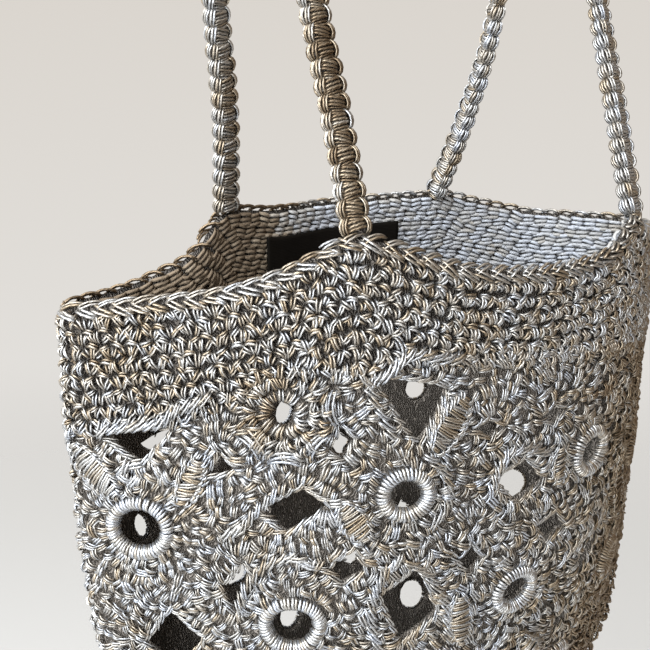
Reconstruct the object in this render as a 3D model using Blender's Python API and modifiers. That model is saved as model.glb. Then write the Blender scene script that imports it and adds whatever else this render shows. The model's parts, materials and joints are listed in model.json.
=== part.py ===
"""A small hand-crocheted openwork bag that hangs from its two handles.

The cloth is a pocket of freeform crochet: rings, leaves and joins with gaps between
them.  A dense band of single crochet heads it, two knotted straps rise from the four
peaks of the rim, and a bare dark label is sewn inside the back of the band.

Heights in the tables are millimetres above the four peaks of the rim, plan positions
are millimetres from the middle of the four handle feet.  The origin of the part is
the point where the handles hang.
"""
import math
import random

import bmesh
import bpy
from mathutils import Vector, geometry

MM = 0.001

# Where it hangs: the underside of the two handles' tops, above the rim's four peaks
HANG_HEIGHT = 162.5

# The mouth, round the inner face of the cloth from the left fold, counter-clockwise
# from above.  drop is the rim's height below the peaks, band the heading's height.
# Columns: name, x, y, drop, band
RIM_STATIONS = (
    ("left_fold", -100, 23, -21, 35.5),
    ("left_front", -88, 8, -18.5, 33),
    ("left_slope", -70, -10, -14.5, 30),
    ("rise_to_a", -56, -23, -7.5, 26.5),
    ("foot_a", -45, -32, 0, 35.5),
    ("fall_from_a", -30, -38, -4.5, 27.5),
    ("front_left", -18, -41, -8.5, 25),
    ("front_low", 2, -44, -11, 24.5),
    ("front_right", 22, -44, -10.5, 26),
    ("rise_to_b", 38, -41.5, -8, 31),
    ("foot_b", 51, -37, 0, 40),
    ("fall_from_b", 62, -31, -6, 38),
    ("right_front", 75, -22, -8.5, 36),
    ("right_fold", 98, -2, -9, 35),
    ("right_back", 89, 13, -8, 34),
    ("back_right", 74, 28, -7, 34),
    ("rise_to_c", 54, 37, -2.5, 35),
    ("foot_c", 41, 40, 0, 36),
    ("back_middle", 0, 43, -0.5, 34),
    ("back_left", -26, 37, -1.2, 34),
    ("foot_d", -48, 30, 0, 36),
    ("fall_from_d", -60, 27, -11, 33),
    ("left_back", -80, 29, -19, 34),
)
FRONT_SPANS = 13          # spans from the left fold to the right fold, over the front
STEPS_PER_SPAN = 24
TANGENT_STEP = 0.004      # share of the rim's way over which its direction is taken

# The bottom seam, a U that closes front to back
SEAM_LEFT, SEAM_RIGHT = -88.0, 95.0
SEAM_TOP, SEAM_SAG = -160.0, 48.0
SEAM_MIDDLE_Y, SEAM_TURN = 9.0, -0.1
SEAM_CORNER = 4           # higher makes the U's corners squarer
DRAW_IN = 3               # how late the sides draw in towards the seam

# Heading of single crochet
COLUMNS_PER_HALF = 30
BAND_ROWS = 8
BAND_VALLEY, BAND_CREST = 2.3, 3.2
RIM_BEAD = 3.6
RIM_BEAD_DEPTH = 3.0
BEAD_ROUNDING = 0.9       # how far the bead's top is set in at both edges
LINING_PARTS = (0.75, 0.5, 0.25, 0.05)   # heights of the plain inside's rows
PIECE_GAP = 0.3
JOIN_GAP = 0.5            # between the band and the openwork, whose edges lean a little

# Openwork
NET_THICKNESS = 4.0       # at a ring's crest; the shares below make the rest thinner
RING_CREST, RING_INNER, LEAF_RIB = 1.0, 0.75, 0.95
GROUND, HOLE_EDGE = 0.62, 0.55
GROUND_UNEVENNESS = 0.10
RING_STEPS = 12
RING_CREST_OUT, RING_OUTER_OUT = 2.2, 4.6
FLAT_REACH = 1.0          # the cloth's ways are taken over this distance
GAP_BOW = {3: 0.62, 4: 0.76}             # how far a gap's sides bow in, by its corners
POINTS_PER_CORNER = 3
RIB_PARTS = (-0.3, 0.0, 0.3)             # places along a leaf's length
FILL_PITCH, FILL_JITTER = 9.5, 1.2
FILL_CLEARANCE = 3.4
FILL_SEED = 11
SIDE_STEPS = 11
WELD_DISTANCE = 0.02

# Rings and gaps of one panel: distance from the left fold, depth below the rim,
# size, number of corners (0 is a wrapped ring), turn in degrees
HOLE_COLUMNS = ("along", "down", "wide", "tall", "corners", "turn")
HOLES = (
    (61, 38, 7, 7, 0, 0),
    (19, 64.5, 13, 12, 0, 0),
    (63, 102.5, 12, 12, 0, 0),
    (93.5, 66.3, 9.5, 9, 0, 0),
    (158, 59.5, 10, 9, 0, 0),
    (132.5, 97, 9.5, 9, 0, 0),
    (205, 72, 10, 10, 0, 0),
    (192, 112, 9, 9, 0, 0),
    (28, 133, 10, 10, 0, 0),
    (95, 138, 11, 11, 0, 0),
    (163, 141, 10, 10, 0, 0),
    (20.5, 39.2, 20, 11, 3, 180),
    (43.5, 48, 6.5, 7, 3, 0),
    (76.2, 54, 5.5, 9, 4, 0),
    (63.5, 66.5, 18.5, 11.5, 4, 22),
    (47.5, 85.5, 9, 15, 4, 12),
    (26.5, 101, 18, 19, 4, 0),
    (94.8, 39.8, 21.5, 20.5, 3, 172),
    (117.5, 44, 9, 5, 4, 0),
    (129.5, 60.5, 18, 12, 4, 12),
    (140, 42.5, 8, 5.5, 4, 0),
    (144, 79, 12, 9, 4, 20),
    (168, 100, 13, 16, 4, 25),
    (78.5, 91, 9, 10, 4, 20),
    (97, 100.5, 17, 25, 4, 8),
    (160, 120.5, 8, 9, 4, 30),
    (186, 47, 12, 7, 4, 0),
    (222, 50, 11, 7, 3, 180),
    (186, 68, 8, 9, 3, 0),
    (222, 97, 10, 14, 4, 0),
    (207, 96, 7, 8, 4, 20),
    (115, 84, 7, 9, 4, 0),
    (48, 128, 8, 9, 3, 0),
    (64, 145, 12, 9, 4, 0),
    (122, 124, 11, 9, 4, 0),
    (130, 152, 12, 9, 4, 0),
    (196, 140, 10, 11, 4, 0),
    (78, 166, 10, 9, 3, 0),
    (104, 174, 10, 10, 0, 0),
    (144, 171, 11, 9, 4, 0),
    (168, 168, 9, 8, 3, 180),
    (52, 160, 9, 8, 4, 30),
)
# The back has the same motifs in its own places, so both walls' gaps meet where the photo
# shows the background through them
BACK_HOLES = (
    (163.4, 45, 7, 7, 0, 0), (202.9, 66.9, 13, 12, 0, 0), (177, 105, 12, 12, 0, 0),
    (138, 71, 9.5, 9, 0, 0), (79.5, 68, 10, 9, 0, 0), (96.8, 99, 9.5, 9, 0, 0),
    (20.5, 74, 4.4, 9, 0, 0), (53, 116, 9, 9, 0, 0), (197.3, 136.8, 10, 10, 0, 0),
    (132, 147, 11, 11, 0, 0), (75.5, 138, 10, 10, 0, 0), (123.3, 176, 10, 10, 0, 0),
    (201.1, 44.2, 20, 11, 3, -180), (178.6, 50.3, 6.5, 7, 3, 0), (149.2, 56, 5.5, 9, 4, 0),
    (161.8, 67.8, 18.5, 11.5, 4, -22), (175.4, 84.4, 9, 15, 4, -12), (198.4, 102.8, 18, 19, 4, 0),
    (136.4, 46.8, 22.5, 21.5, 3, -172), (109.8, 46.9, 9, 5, 4, 0), (102.5, 63.5, 18, 12, 4, -12),
    (89.6, 43.4, 8, 5.5, 4, 0), (86.9, 82.7, 12, 9, 4, -20), (63.9, 101.7, 13, 16, 4, -25),
    (147.1, 94.1, 9, 10, 4, -20), (131, 121, 15, 19, 4, -8), (71.2, 122.5, 8, 9, 4, -30),
    (47, 49, 12, 7, 4, 0), (27, 50, 11, 7, 3, -180), (47, 70, 8, 9, 3, 0),
    (13.4, 99, 10, 14, 4, 0), (27.4, 98, 7, 8, 4, -20), (105, 86, 7, 9, 4, 0),
    (174.3, 131, 8, 9, 3, 0), (160.6, 147, 12, 9, 4, 0), (106.6, 126, 11, 9, 4, 0),
    (99.1, 154, 12, 9, 4, 0), (37.7, 142, 10, 11, 4, 0), (147.5, 168, 10, 9, 3, 0),
    (86.1, 173, 11, 9, 4, 0), (63.7, 170, 9, 8, 3, -180), (171.8, 162, 9, 8, 4, -30),
)

# Raised leaves of one panel, with a rib along the middle
LEAF_COLUMNS = ("along", "down", "length", "width", "turn")
LEAVES = (
    (105, 43, 19, 6.5, -62),
    (34.8, 51, 14, 6, -65),
    (80, 77, 13, 6.5, 60),
    (114, 104, 18, 7, 80),
    (143.6, 59, 12, 5, 85),
    (186, 88, 16, 7, 60),
    (41.5, 112, 14, 7, -60),
    (146, 124, 15, 7, 50),
)
BACK_LEAVES = (
    (119.6, 46, 19, 6.5, 62), (188.4, 52.3, 14, 6, 65), (149.5, 80.5, 13, 6.5, -60),
    (113.8, 105.9, 18, 7, -80), (91, 55.5, 12, 5, -85), (47, 90, 16, 7, -60),
    (181.6, 125.1, 14, 7, 60), (87.3, 121.4, 15, 7, -50),
)
LEAF_STEPS = 8

# Straps: one row a bend.  flat is the compass bearing of the strap's wide side.
# Columns: x, y, height, flat
FRONT_STRAP = (
    (-44.5, -33, 0, -24),
    (-43.7, -22, 30, -11),
    (-45, -13, 60, -9),
    (-44.5, -8, 95, -38),
    (-38, -6, 134, -74),
    (-20, -5.4, 158, -90),
    (3, -5.2, 165, -90),
    (26, -5.4, 158, -90),
    (44, -6, 134, -100),
    (55, -8, 95, -130),
    (55.5, -17, 60, -155),
    (53.3, -28, 30, -162),
    (51.5, -38.2, 0, -163),
)
BACK_STRAP = (
    (-48, 31.2, 0, 7),
    (-51, 24.5, 30, 12),
    (-56.5, 18, 60, 18),
    (-59, 11, 95, 40),
    (-48, 6.5, 134, 74),
    (-29, 5.4, 158, 90),
    (-5, 5.2, 165, 90),
    (20, 5.4, 158, 90),
    (35, 6.5, 134, 84),
    (40, 8, 95, 70),
    (41, 13, 60, 64),
    (41.8, 25.5, 30, 78),
    (41, 41.2, 0, 100),
)
KNOT_PITCH = 4.6
STRAP_SIDES = 6
SIX_SIDED_FILL = 1.15     # brings a six-sided section to its full thickness
KNOT_WIDE, KNOT_THICK = 9.6, 5.2
WAIST_WIDE, WAIST_THICK = 7.8, 4.2
FOOT_LIFT = 0.35

# Bare label inside the back of the band
LABEL_LEFT_X, LABEL_RIGHT_X = -33.0, 24.0
LABEL_TOP, LABEL_BOTTOM = 8.5, 32.0
LABEL_THICKNESS = 1.0
LABEL_ROWS = 3

COLLECTION = "crochet_bag"
MATERIALS = {
    "silver_yarn": ((0.56, 0.54, 0.51, 1.0), 0.34, 0.75),
    "label_cloth": ((0.018, 0.016, 0.014, 1.0), 0.62, 0.0),
}


def clear_scene():
    for item in list(bpy.data.objects):
        bpy.data.objects.remove(item, do_unlink=True)


def make_collection(name):
    collection = bpy.data.collections.new(name)
    bpy.context.scene.collection.children.link(collection)
    return collection


def make_material(name, finish):
    colour, roughness, metallic = MATERIALS[finish]
    material = bpy.data.materials.new(name)
    material.use_nodes = True
    shader = material.node_tree.nodes["Principled BSDF"]
    shader.inputs["Base Color"].default_value = colour
    shader.inputs["Roughness"].default_value = roughness
    shader.inputs["Metallic"].default_value = metallic
    material.diffuse_color = colour
    return material


def place(collection, name, bm, finish):
    """Turn a millimetre mesh into a named object in metres, below the hang point."""
    for vertex in bm.verts:
        vertex.co.z -= HANG_HEIGHT
        vertex.co *= MM
    bmesh.ops.recalc_face_normals(bm, faces=bm.faces)
    mesh = bpy.data.meshes.new(name)
    bm.to_mesh(mesh)
    bm.free()
    mesh.materials.append(make_material(name, finish))
    mesh.shade_smooth()
    thing = bpy.data.objects.new(name, mesh)
    collection.objects.link(thing)
    return thing


def curve_through(before, start, end, after, t):
    """A smooth (Catmull-Rom) curve between two rows of a table."""
    return tuple(
        0.5 * (2 * b + (c - a) * t + (2 * a - 5 * b + 4 * c - d) * t * t
               + (3 * b - 3 * c + d - a) * t ** 3)
        for a, b, c, d in zip(before, start, end, after))


class RimHalf:
    """The rim over one panel, from the left fold to the right fold, by distance."""

    def __init__(self, first, last, backwards):
        count = len(RIM_STATIONS)
        rows = [RIM_STATIONS[index % count][1:] for index in range(first - 1, last + 2)]
        self.points = []
        for index in range(1, last - first + 1):
            for step in range(STEPS_PER_SPAN):
                self.points.append(curve_through(*rows[index - 1:index + 3], step / STEPS_PER_SPAN))
        self.points.append(tuple(float(value) for value in rows[-2]))
        if backwards:
            self.points.reverse()
        self.outward = -1.0 if backwards else 1.0
        self.distance = [0.0]
        for here, there in zip(self.points, self.points[1:]):
            self.distance.append(self.distance[-1] + math.hypot(there[0] - here[0], there[1] - here[1]))
        self.length = self.distance[-1]

    def at(self, share):
        """x, y, height and band height at a share of the way from left to right."""
        goal = min(max(share, 0.0), 1.0) * self.length
        index = next(i for i in range(1, len(self.distance)) if self.distance[i] >= goal - 1e-9)
        span = self.distance[index] - self.distance[index - 1]
        mix = (goal - self.distance[index - 1]) / span
        return [a + (b - a) * mix for a, b in zip(self.points[index - 1], self.points[index])]

    def share_at_x(self, x):
        """The share of the way where the rim passes over a plan x."""
        low, high = 0.0, 1.0
        for _ in range(40):
            middle = (low + high) / 2
            if self.at(middle)[0] < x:
                low = middle
            else:
                high = middle
        return low


PANELS = {
    "front": RimHalf(0, FRONT_SPANS, False),
    "back": RimHalf(FRONT_SPANS, len(RIM_STATIONS), True),
}


def seam_point(share):
    """The bottom seam's U at a share of the way from left to right."""
    x = SEAM_LEFT + (SEAM_RIGHT - SEAM_LEFT) * share
    z = SEAM_TOP - SEAM_SAG * (1 - abs(2 * share - 1) ** SEAM_CORNER)
    return x, SEAM_MIDDLE_Y + SEAM_TURN * x, z


def seam_depth(panel, share):
    """How far the seam lies below the rim."""
    return PANELS[panel].at(share)[2] - seam_point(share)[2]


def cloth_point(panel, share, down):
    """A point on the cloth's inner face."""
    x, y, z, _ = PANELS[panel].at(share)
    seam_x, seam_y, seam_z = seam_point(share)
    fall = min(down / (z - seam_z), 1.0)
    lean = fall ** DRAW_IN
    return Vector((x + (seam_x - x) * lean, y + (seam_y - y) * lean, z - down))


def outward_at(panel, share):
    """The level direction that points out of the bag at a place along the rim."""
    half = PANELS[panel]
    before, after = half.at(share - TANGENT_STEP), half.at(share + TANGENT_STEP)
    run = Vector((after[0] - before[0], after[1] - before[1], 0)).normalized()
    return Vector((run.y, -run.x, 0)) * half.outward


def fold_outward(share):
    """At the two folds the outward direction is shared by both panels."""
    return (outward_at("front", share) + outward_at("back", share)).normalized()


def ring_of_columns():
    """Panel and share of every column of the band, once round the mouth."""
    front = [("front", step / COLUMNS_PER_HALF) for step in range(COLUMNS_PER_HALF)]
    back = [("back", 1 - step / COLUMNS_PER_HALF) for step in range(COLUMNS_PER_HALF)]
    return front + back


def column_outward(panel, share):
    return fold_outward(share) if share in (0.0, 1.0) else outward_at(panel, share)


def loft(sections, closed):
    """Skin a row of sections with equal point counts, as a ring or with end caps."""
    bm = bmesh.new()
    rings = [[bm.verts.new(point) for point in section] for section in sections]
    pairs = list(zip(rings, rings[1:]))
    if closed:
        pairs.append((rings[-1], rings[0]))
    for here, there in pairs:
        for index, vertex in enumerate(here):
            following = (index + 1) % len(here)
            bm.faces.new((vertex, here[following], there[following], there[index]))
    if not closed:
        bm.faces.new(rings[0])
        bm.faces.new(tuple(reversed(rings[-1])))
    bmesh.ops.triangulate(bm, faces=bm.faces)
    return bm


def band_profile(height):
    """(outward, down) round the band's wall: rim bead, ridged rows, plain inside."""
    profile = [(BEAD_ROUNDING, 0.0), (RIM_BEAD - BEAD_ROUNDING, 0.0), (RIM_BEAD, RIM_BEAD_DEPTH / 2)]
    row = (height - RIM_BEAD_DEPTH) / BAND_ROWS
    for index in range(BAND_ROWS):
        top = RIM_BEAD_DEPTH + index * row
        profile += [(BAND_VALLEY, top), (BAND_CREST, top + row / 2)]
    profile += [(BAND_VALLEY, height), (0.0, height)]
    profile += [(0.0, height * part) for part in LINING_PARTS]
    return profile


def make_band(collection):
    sections = []
    for panel, share in ring_of_columns():
        out = column_outward(panel, share)
        height = PANELS[panel].at(share)[3]
        sections.append([cloth_point(panel, share, down) + out * distance
                         for distance, down in band_profile(height)])
    return place(collection, "band", loft(sections, closed=True), "silver_yarn")


def round_outline(panel, hole, grow, steps):
    """Points of a ring's circle, a distance outside its hole, round on the hanging cloth."""
    length, reach = PANELS[panel].length, FLAT_REACH
    along, down = hole["along"], hole["down"]
    run = (cloth_point(panel, (along + reach) / length, down)
           - cloth_point(panel, (along - reach) / length, down)) / (2 * reach)
    fall = (cloth_point(panel, along / length, down + reach)
            - cloth_point(panel, along / length, down - reach)) / (2 * reach)
    skew = fall.dot(run.normalized())
    drop = (fall - run.normalized() * skew).length
    outline = []
    for step in range(steps):
        angle = math.tau * step / steps
        deeper = (hole["tall"] / 2 + grow) * math.sin(angle) / drop
        further = ((hole["wide"] / 2 + grow) * math.cos(angle) - deeper * skew) / run.length
        outline.append((along + further, down + deeper))
    return outline


def cornered_outline(hole):
    """A gap between motifs: its sides bow inwards between three or four corners."""
    bow, turn = GAP_BOW[hole["corners"]], math.radians(hole["turn"])
    outline = []
    steps = hole["corners"] * POINTS_PER_CORNER
    for step in range(steps):
        angle = math.tau * step / steps
        reach = bow if step % POINTS_PER_CORNER else 1.0
        x = hole["wide"] / 2 * reach * math.sin(angle)
        y = -hole["tall"] / 2 * reach * math.cos(angle)
        outline.append((hole["along"] + x * math.cos(turn) - y * math.sin(turn),
                        hole["down"] + x * math.sin(turn) + y * math.cos(turn)))
    return outline


def leaf_outline(leaf):
    """A pointed oval and the rib points along its middle."""
    turn = math.radians(leaf["turn"])
    direction = (math.cos(turn), math.sin(turn))
    across = (-direction[1], direction[0])
    edge = []
    for step in range(LEAF_STEPS):
        angle = math.tau * step / LEAF_STEPS
        run = leaf["length"] / 2 * math.cos(angle)
        side = leaf["width"] / 2 * math.sin(angle)
        edge.append((leaf["along"] + run * direction[0] + side * across[0],
                     leaf["down"] + run * direction[1] + side * across[1]))
    rib = [(leaf["along"] + leaf["length"] * part * direction[0],
            leaf["down"] + leaf["length"] * part * direction[1]) for part in RIB_PARTS]
    return edge, rib


def inside(point, outline):
    """Whether a flat point lies inside a closed outline."""
    hit = False
    for (ax, ay), (bx, by) in zip(outline, outline[1:] + outline[:1]):
        if (ay > point[1]) != (by > point[1]):
            if point[0] < ax + (point[1] - ay) * (bx - ax) / (by - ay):
                hit = not hit
    return hit


class Panel:
    """One unrolled side of the openwork, gathered as points, edges and reliefs."""

    def __init__(self, name):
        self.name = name
        self.half = PANELS[name]
        self.points, self.edges, self.relief, self.gaps = [], [], [], []
        self.random = random.Random(FILL_SEED + len(name))

    def add(self, point, relief):
        self.points.append(Vector(point))
        self.relief.append(relief)
        return len(self.points) - 1

    def add_loop(self, outline, relief):
        indices = [self.add(point, relief) for point in outline]
        self.edges += list(zip(indices, indices[1:] + indices[:1]))

    def frame(self):
        """The top edge under the band, the two folds and the seam."""
        length = self.half.length
        outline = []
        for step in range(COLUMNS_PER_HALF + 1):
            share = step / COLUMNS_PER_HALF
            outline.append((share * length, self.half.at(share)[3] + JOIN_GAP))
        outline += self.fold(1.0, down=True)
        for step in range(COLUMNS_PER_HALF, -1, -1):
            share = step / COLUMNS_PER_HALF
            outline.append((share * length, seam_depth(self.name, share)))
        outline += self.fold(0.0, down=False)
        self.outline = outline
        self.add_loop(outline, GROUND)

    def fold(self, share, down):
        """Points strictly between the band and the seam along one fold."""
        top = self.half.at(share)[3] + JOIN_GAP
        bottom = seam_depth(self.name, share)
        steps = [top + (bottom - top) * step / SIDE_STEPS for step in range(1, SIDE_STEPS)]
        if not down:
            steps.reverse()
        return [(share * self.half.length, depth) for depth in steps]

    def motifs(self):
        holes, leaves = (HOLES, LEAVES) if self.name == "front" else (BACK_HOLES, BACK_LEAVES)
        for row in holes:
            hole = dict(zip(HOLE_COLUMNS, row))
            if hole["corners"]:
                outline = cornered_outline(hole)
                self.add_loop(outline, HOLE_EDGE)
            else:
                outline = round_outline(self.name, hole, 0.0, RING_STEPS)
                self.add_loop(outline, RING_INNER)
                for grow, relief in ((RING_CREST_OUT, RING_CREST), (RING_OUTER_OUT, HOLE_EDGE)):
                    self.add_loop(round_outline(self.name, hole, grow, RING_STEPS), relief)
            self.gaps.append(outline)
        for row in leaves:
            edge, rib = leaf_outline(dict(zip(LEAF_COLUMNS, row)))
            self.add_loop(edge, HOLE_EDGE)
            for point in rib:
                self.add(point, LEAF_RIB)

    def fill(self):
        """Uneven ground points, kept clear of every motif."""
        taken = list(self.points)
        rows = int(max(point.y for point in taken) / FILL_PITCH)
        columns = int(self.half.length / FILL_PITCH)
        for row in range(rows + 1):
            for column in range(columns + 1):
                along = (column + 0.5 * (row % 2)) * FILL_PITCH
                point = Vector((along + self.random.uniform(-FILL_JITTER, FILL_JITTER),
                                row * FILL_PITCH + self.random.uniform(-FILL_JITTER, FILL_JITTER)))
                unevenness = self.random.uniform(-GROUND_UNEVENNESS, GROUND_UNEVENNESS)
                if not inside(point, self.outline) or any(inside(point, gap) for gap in self.gaps):
                    continue
                if min((point - other).length for other in taken) > FILL_CLEARANCE:
                    self.add(point, GROUND + unevenness)

    def build(self, bm, layer):
        """Triangulate the flat panel, drop the gaps, and lay it on the bag's form."""
        self.frame()
        self.motifs()
        self.fill()
        flat, _, faces, sources, _, _ = geometry.delaunay_2d_cdt(
            self.points, self.edges, [], 0, 1e-5, True)
        made = []
        for point, source in zip(flat, sources):
            vertex = bm.verts.new(cloth_point(self.name, point.x / self.half.length, point.y))
            relief = self.relief[source[0]] if source else GROUND
            vertex[layer][0] = relief
            made.append(vertex)
        for face in faces:
            middle = sum((flat[index] for index in face), Vector((0, 0))) / len(face)
            if inside(middle, self.outline) and not any(inside(middle, gap) for gap in self.gaps):
                corners = [made[index] for index in face]
                bm.faces.new(corners if self.name == "front" else reversed(corners))
        for vertex in [vertex for vertex in made if not vertex.link_faces]:
            bm.verts.remove(vertex)


def make_net(collection):
    bm = bmesh.new()
    layer = bm.verts.layers.deform.verify()
    for name in ("front", "back"):
        Panel(name).build(bm, layer)
    bmesh.ops.remove_doubles(bm, verts=bm.verts, dist=WELD_DISTANCE)
    thing = place(collection, "net", bm, "silver_yarn")
    relief = thing.vertex_groups.new(name="relief")
    wall = thing.modifiers.new("wall", "SOLIDIFY")
    wall.thickness = NET_THICKNESS * MM
    wall.offset = 1.0
    wall.vertex_group = relief.name
    wall.use_even_offset = False
    return thing


def strap_route(table):
    """The strap's middle line and flat bearing, sampled twice a knot."""
    fine = []
    for index in range(len(table) - 1):
        before = table[max(index - 1, 0)]
        after = table[min(index + 2, len(table) - 1)]
        for step in range(STEPS_PER_SPAN):
            fine.append(curve_through(before, table[index], table[index + 1], after, step / STEPS_PER_SPAN))
    fine.append(tuple(float(value) for value in table[-1]))
    distance = [0.0]
    for here, there in zip(fine, fine[1:]):
        distance.append(distance[-1] + math.dist(here[:3], there[:3]))
    knots = round(distance[-1] / KNOT_PITCH)
    samples = []
    index = 1
    for step in range(2 * knots + 1):
        goal = distance[-1] * step / (2 * knots)
        while distance[index] < goal - 1e-9:
            index += 1
        mix = (goal - distance[index - 1]) / (distance[index] - distance[index - 1])
        samples.append([a + (b - a) * mix for a, b in zip(fine[index - 1], fine[index])])
    return samples


def strap_sections(table):
    samples = strap_route(table)
    sections = []
    last = len(samples) - 1
    for index, (x, y, height, bearing) in enumerate(samples):
        if index in (0, last):
            along = Vector((0, 0, 1 if index == 0 else -1))
        else:
            along = Vector(samples[index + 1][:3]) - Vector(samples[index - 1][:3])
            along.normalize()
        wide = Vector((math.cos(math.radians(bearing)), math.sin(math.radians(bearing)), 0))
        wide = (wide - along * wide.dot(along)).normalized()
        thick = along.cross(wide)
        knot = index % 2
        half_wide = (KNOT_WIDE if knot else WAIST_WIDE) / 2
        half_thick = (KNOT_THICK if knot else WAIST_THICK) / 2
        middle = Vector((x, y, height + (FOOT_LIFT if index in (0, last) else 0)))
        sections.append([
            middle + wide * half_wide * math.cos(math.tau * side / STRAP_SIDES)
            + thick * half_thick * SIX_SIDED_FILL * math.sin(math.tau * side / STRAP_SIDES)
            for side in range(STRAP_SIDES)])
    return sections


def make_handle(collection, name, table):
    return place(collection, name, loft(strap_sections(table), closed=False), "silver_yarn")


def make_label(collection):
    """A thin bare patch that follows the band's inner face, column by column."""
    half = PANELS["back"]
    first = round(half.share_at_x(LABEL_LEFT_X) * COLUMNS_PER_HALF)
    last = round(half.share_at_x(LABEL_RIGHT_X) * COLUMNS_PER_HALF)
    sections = []
    for step in range(first, last + 1):
        share = step / COLUMNS_PER_HALF
        out = outward_at("back", share)
        depths = [LABEL_TOP + (LABEL_BOTTOM - LABEL_TOP) * row / LABEL_ROWS for row in range(LABEL_ROWS + 1)]
        front = [cloth_point("back", share, down) - out * (PIECE_GAP + LABEL_THICKNESS) for down in depths]
        back = [cloth_point("back", share, down) - out * PIECE_GAP for down in reversed(depths)]
        sections.append(front + back)
    return place(collection, "label", loft(sections, closed=False), "label_cloth")


def main():
    clear_scene()
    collection = make_collection(COLLECTION)
    make_band(collection)
    make_net(collection)
    make_handle(collection, "handle_front", FRONT_STRAP)
    make_handle(collection, "handle_back", BACK_STRAP)
    make_label(collection)


main()
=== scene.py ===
# %% [markdown]
# # A small crocheted bag of silver yarn
# The real bag is worked by hand from metallic yarn: rings, leaves and joins with gaps
# between them, a dense heading on top, and two knotted straps. Everything one sees is
# yarn lying over yarn, so the looks come from thousands of short strands. The solids of
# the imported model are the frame: they say where every part is, and stay as they are.

# %% Load the frame
import json
import math
import random

import bmesh
import bpy
import numpy as np
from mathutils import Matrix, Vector

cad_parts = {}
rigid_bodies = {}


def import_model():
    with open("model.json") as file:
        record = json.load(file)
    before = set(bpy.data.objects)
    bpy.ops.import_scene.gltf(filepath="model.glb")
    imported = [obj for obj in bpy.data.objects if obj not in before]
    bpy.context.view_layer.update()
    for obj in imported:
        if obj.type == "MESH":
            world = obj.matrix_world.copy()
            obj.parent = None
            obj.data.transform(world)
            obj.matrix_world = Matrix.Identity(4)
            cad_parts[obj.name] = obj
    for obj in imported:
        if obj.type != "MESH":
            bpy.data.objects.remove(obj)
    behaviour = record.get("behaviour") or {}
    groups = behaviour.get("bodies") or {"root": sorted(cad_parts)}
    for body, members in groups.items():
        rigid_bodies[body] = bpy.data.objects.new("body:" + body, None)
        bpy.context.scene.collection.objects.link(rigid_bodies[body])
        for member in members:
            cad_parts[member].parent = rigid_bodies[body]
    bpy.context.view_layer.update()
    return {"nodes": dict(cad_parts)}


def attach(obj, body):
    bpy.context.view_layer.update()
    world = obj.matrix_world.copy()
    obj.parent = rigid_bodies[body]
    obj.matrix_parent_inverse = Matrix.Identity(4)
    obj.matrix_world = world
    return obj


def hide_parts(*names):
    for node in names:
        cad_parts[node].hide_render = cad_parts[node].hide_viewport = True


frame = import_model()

MM = 0.001

# %% [markdown]
# ## The bag's form, in numbers
# The cloth is one surface: a rim line that rises to four peaks, and a fall from the rim
# to a rounded seam. Sizes are millimetres. Heights count from the peaks, and plan places
# from the middle of the four feet of the straps. A smooth curve through the rows of a
# table (Catmull-Rom) gives the rim, because it passes through each row.

# %% Rim, band and seam sizes
HANG_HEIGHT = 162.5      # from the peaks up to the point where the bag hangs
# Columns: x, y, drop (rim's height), band (heading's height)
RIM = ((-100, 23, -21, 35.5), (-88, 8, -18.5, 33), (-70, -10, -14.5, 30), (-56, -23, -7.5, 26.5),
       (-45, -32, 0, 35.5), (-30, -38, -4.5, 27.5), (-18, -41, -8.5, 25), (2, -44, -11, 24.5),
       (22, -44, -10.5, 26), (38, -41.5, -8, 31), (51, -37, 0, 40), (62, -31, -6, 38),
       (75, -22, -8.5, 36), (98, -2, -9, 35), (89, 13, -8, 34), (74, 28, -7, 34),
       (54, 37, -2.5, 35), (41, 40, 0, 36), (0, 43, -0.5, 34), (-26, 37, -1.2, 34),
       (-48, 30, 0, 36), (-60, 27, -11, 33), (-80, 29, -19, 34))
FRONT_SPANS = 13
SEAM_LEFT, SEAM_RIGHT, SEAM_TOP, SEAM_SAG = -88.0, 95.0, -160.0, 48.0
SEAM_MIDDLE_Y, SEAM_TURN, SEAM_CORNER, DRAW_IN = 9.0, -0.1, 4, 3
FOLD_REACH = 4.0         # over this distance the two halves share their outward way
RUN_REACH, FALL_REACH = 0.9, 0.6          # the cloth's ways are taken over these distances


def through(rows, steps=24):
    """Samples of a smooth line through a table's rows, its first and last row left out."""
    rows = np.array(rows, float)
    t = np.linspace(0, 1, steps, endpoint=False)[:, None]
    spans = [0.5 * (2 * b + (c - a) * t + (2 * a - 5 * b + 4 * c - d) * t ** 2
                    + (3 * b - 3 * c + d - a) * t ** 3)
             for a, b, c, d in zip(rows, rows[1:], rows[2:], rows[3:])]
    return np.vstack(spans + [rows[-2:-1]])


def unit(vectors):
    return vectors / np.maximum(np.linalg.norm(vectors, axis=-1, keepdims=True), 1e-9)


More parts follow.
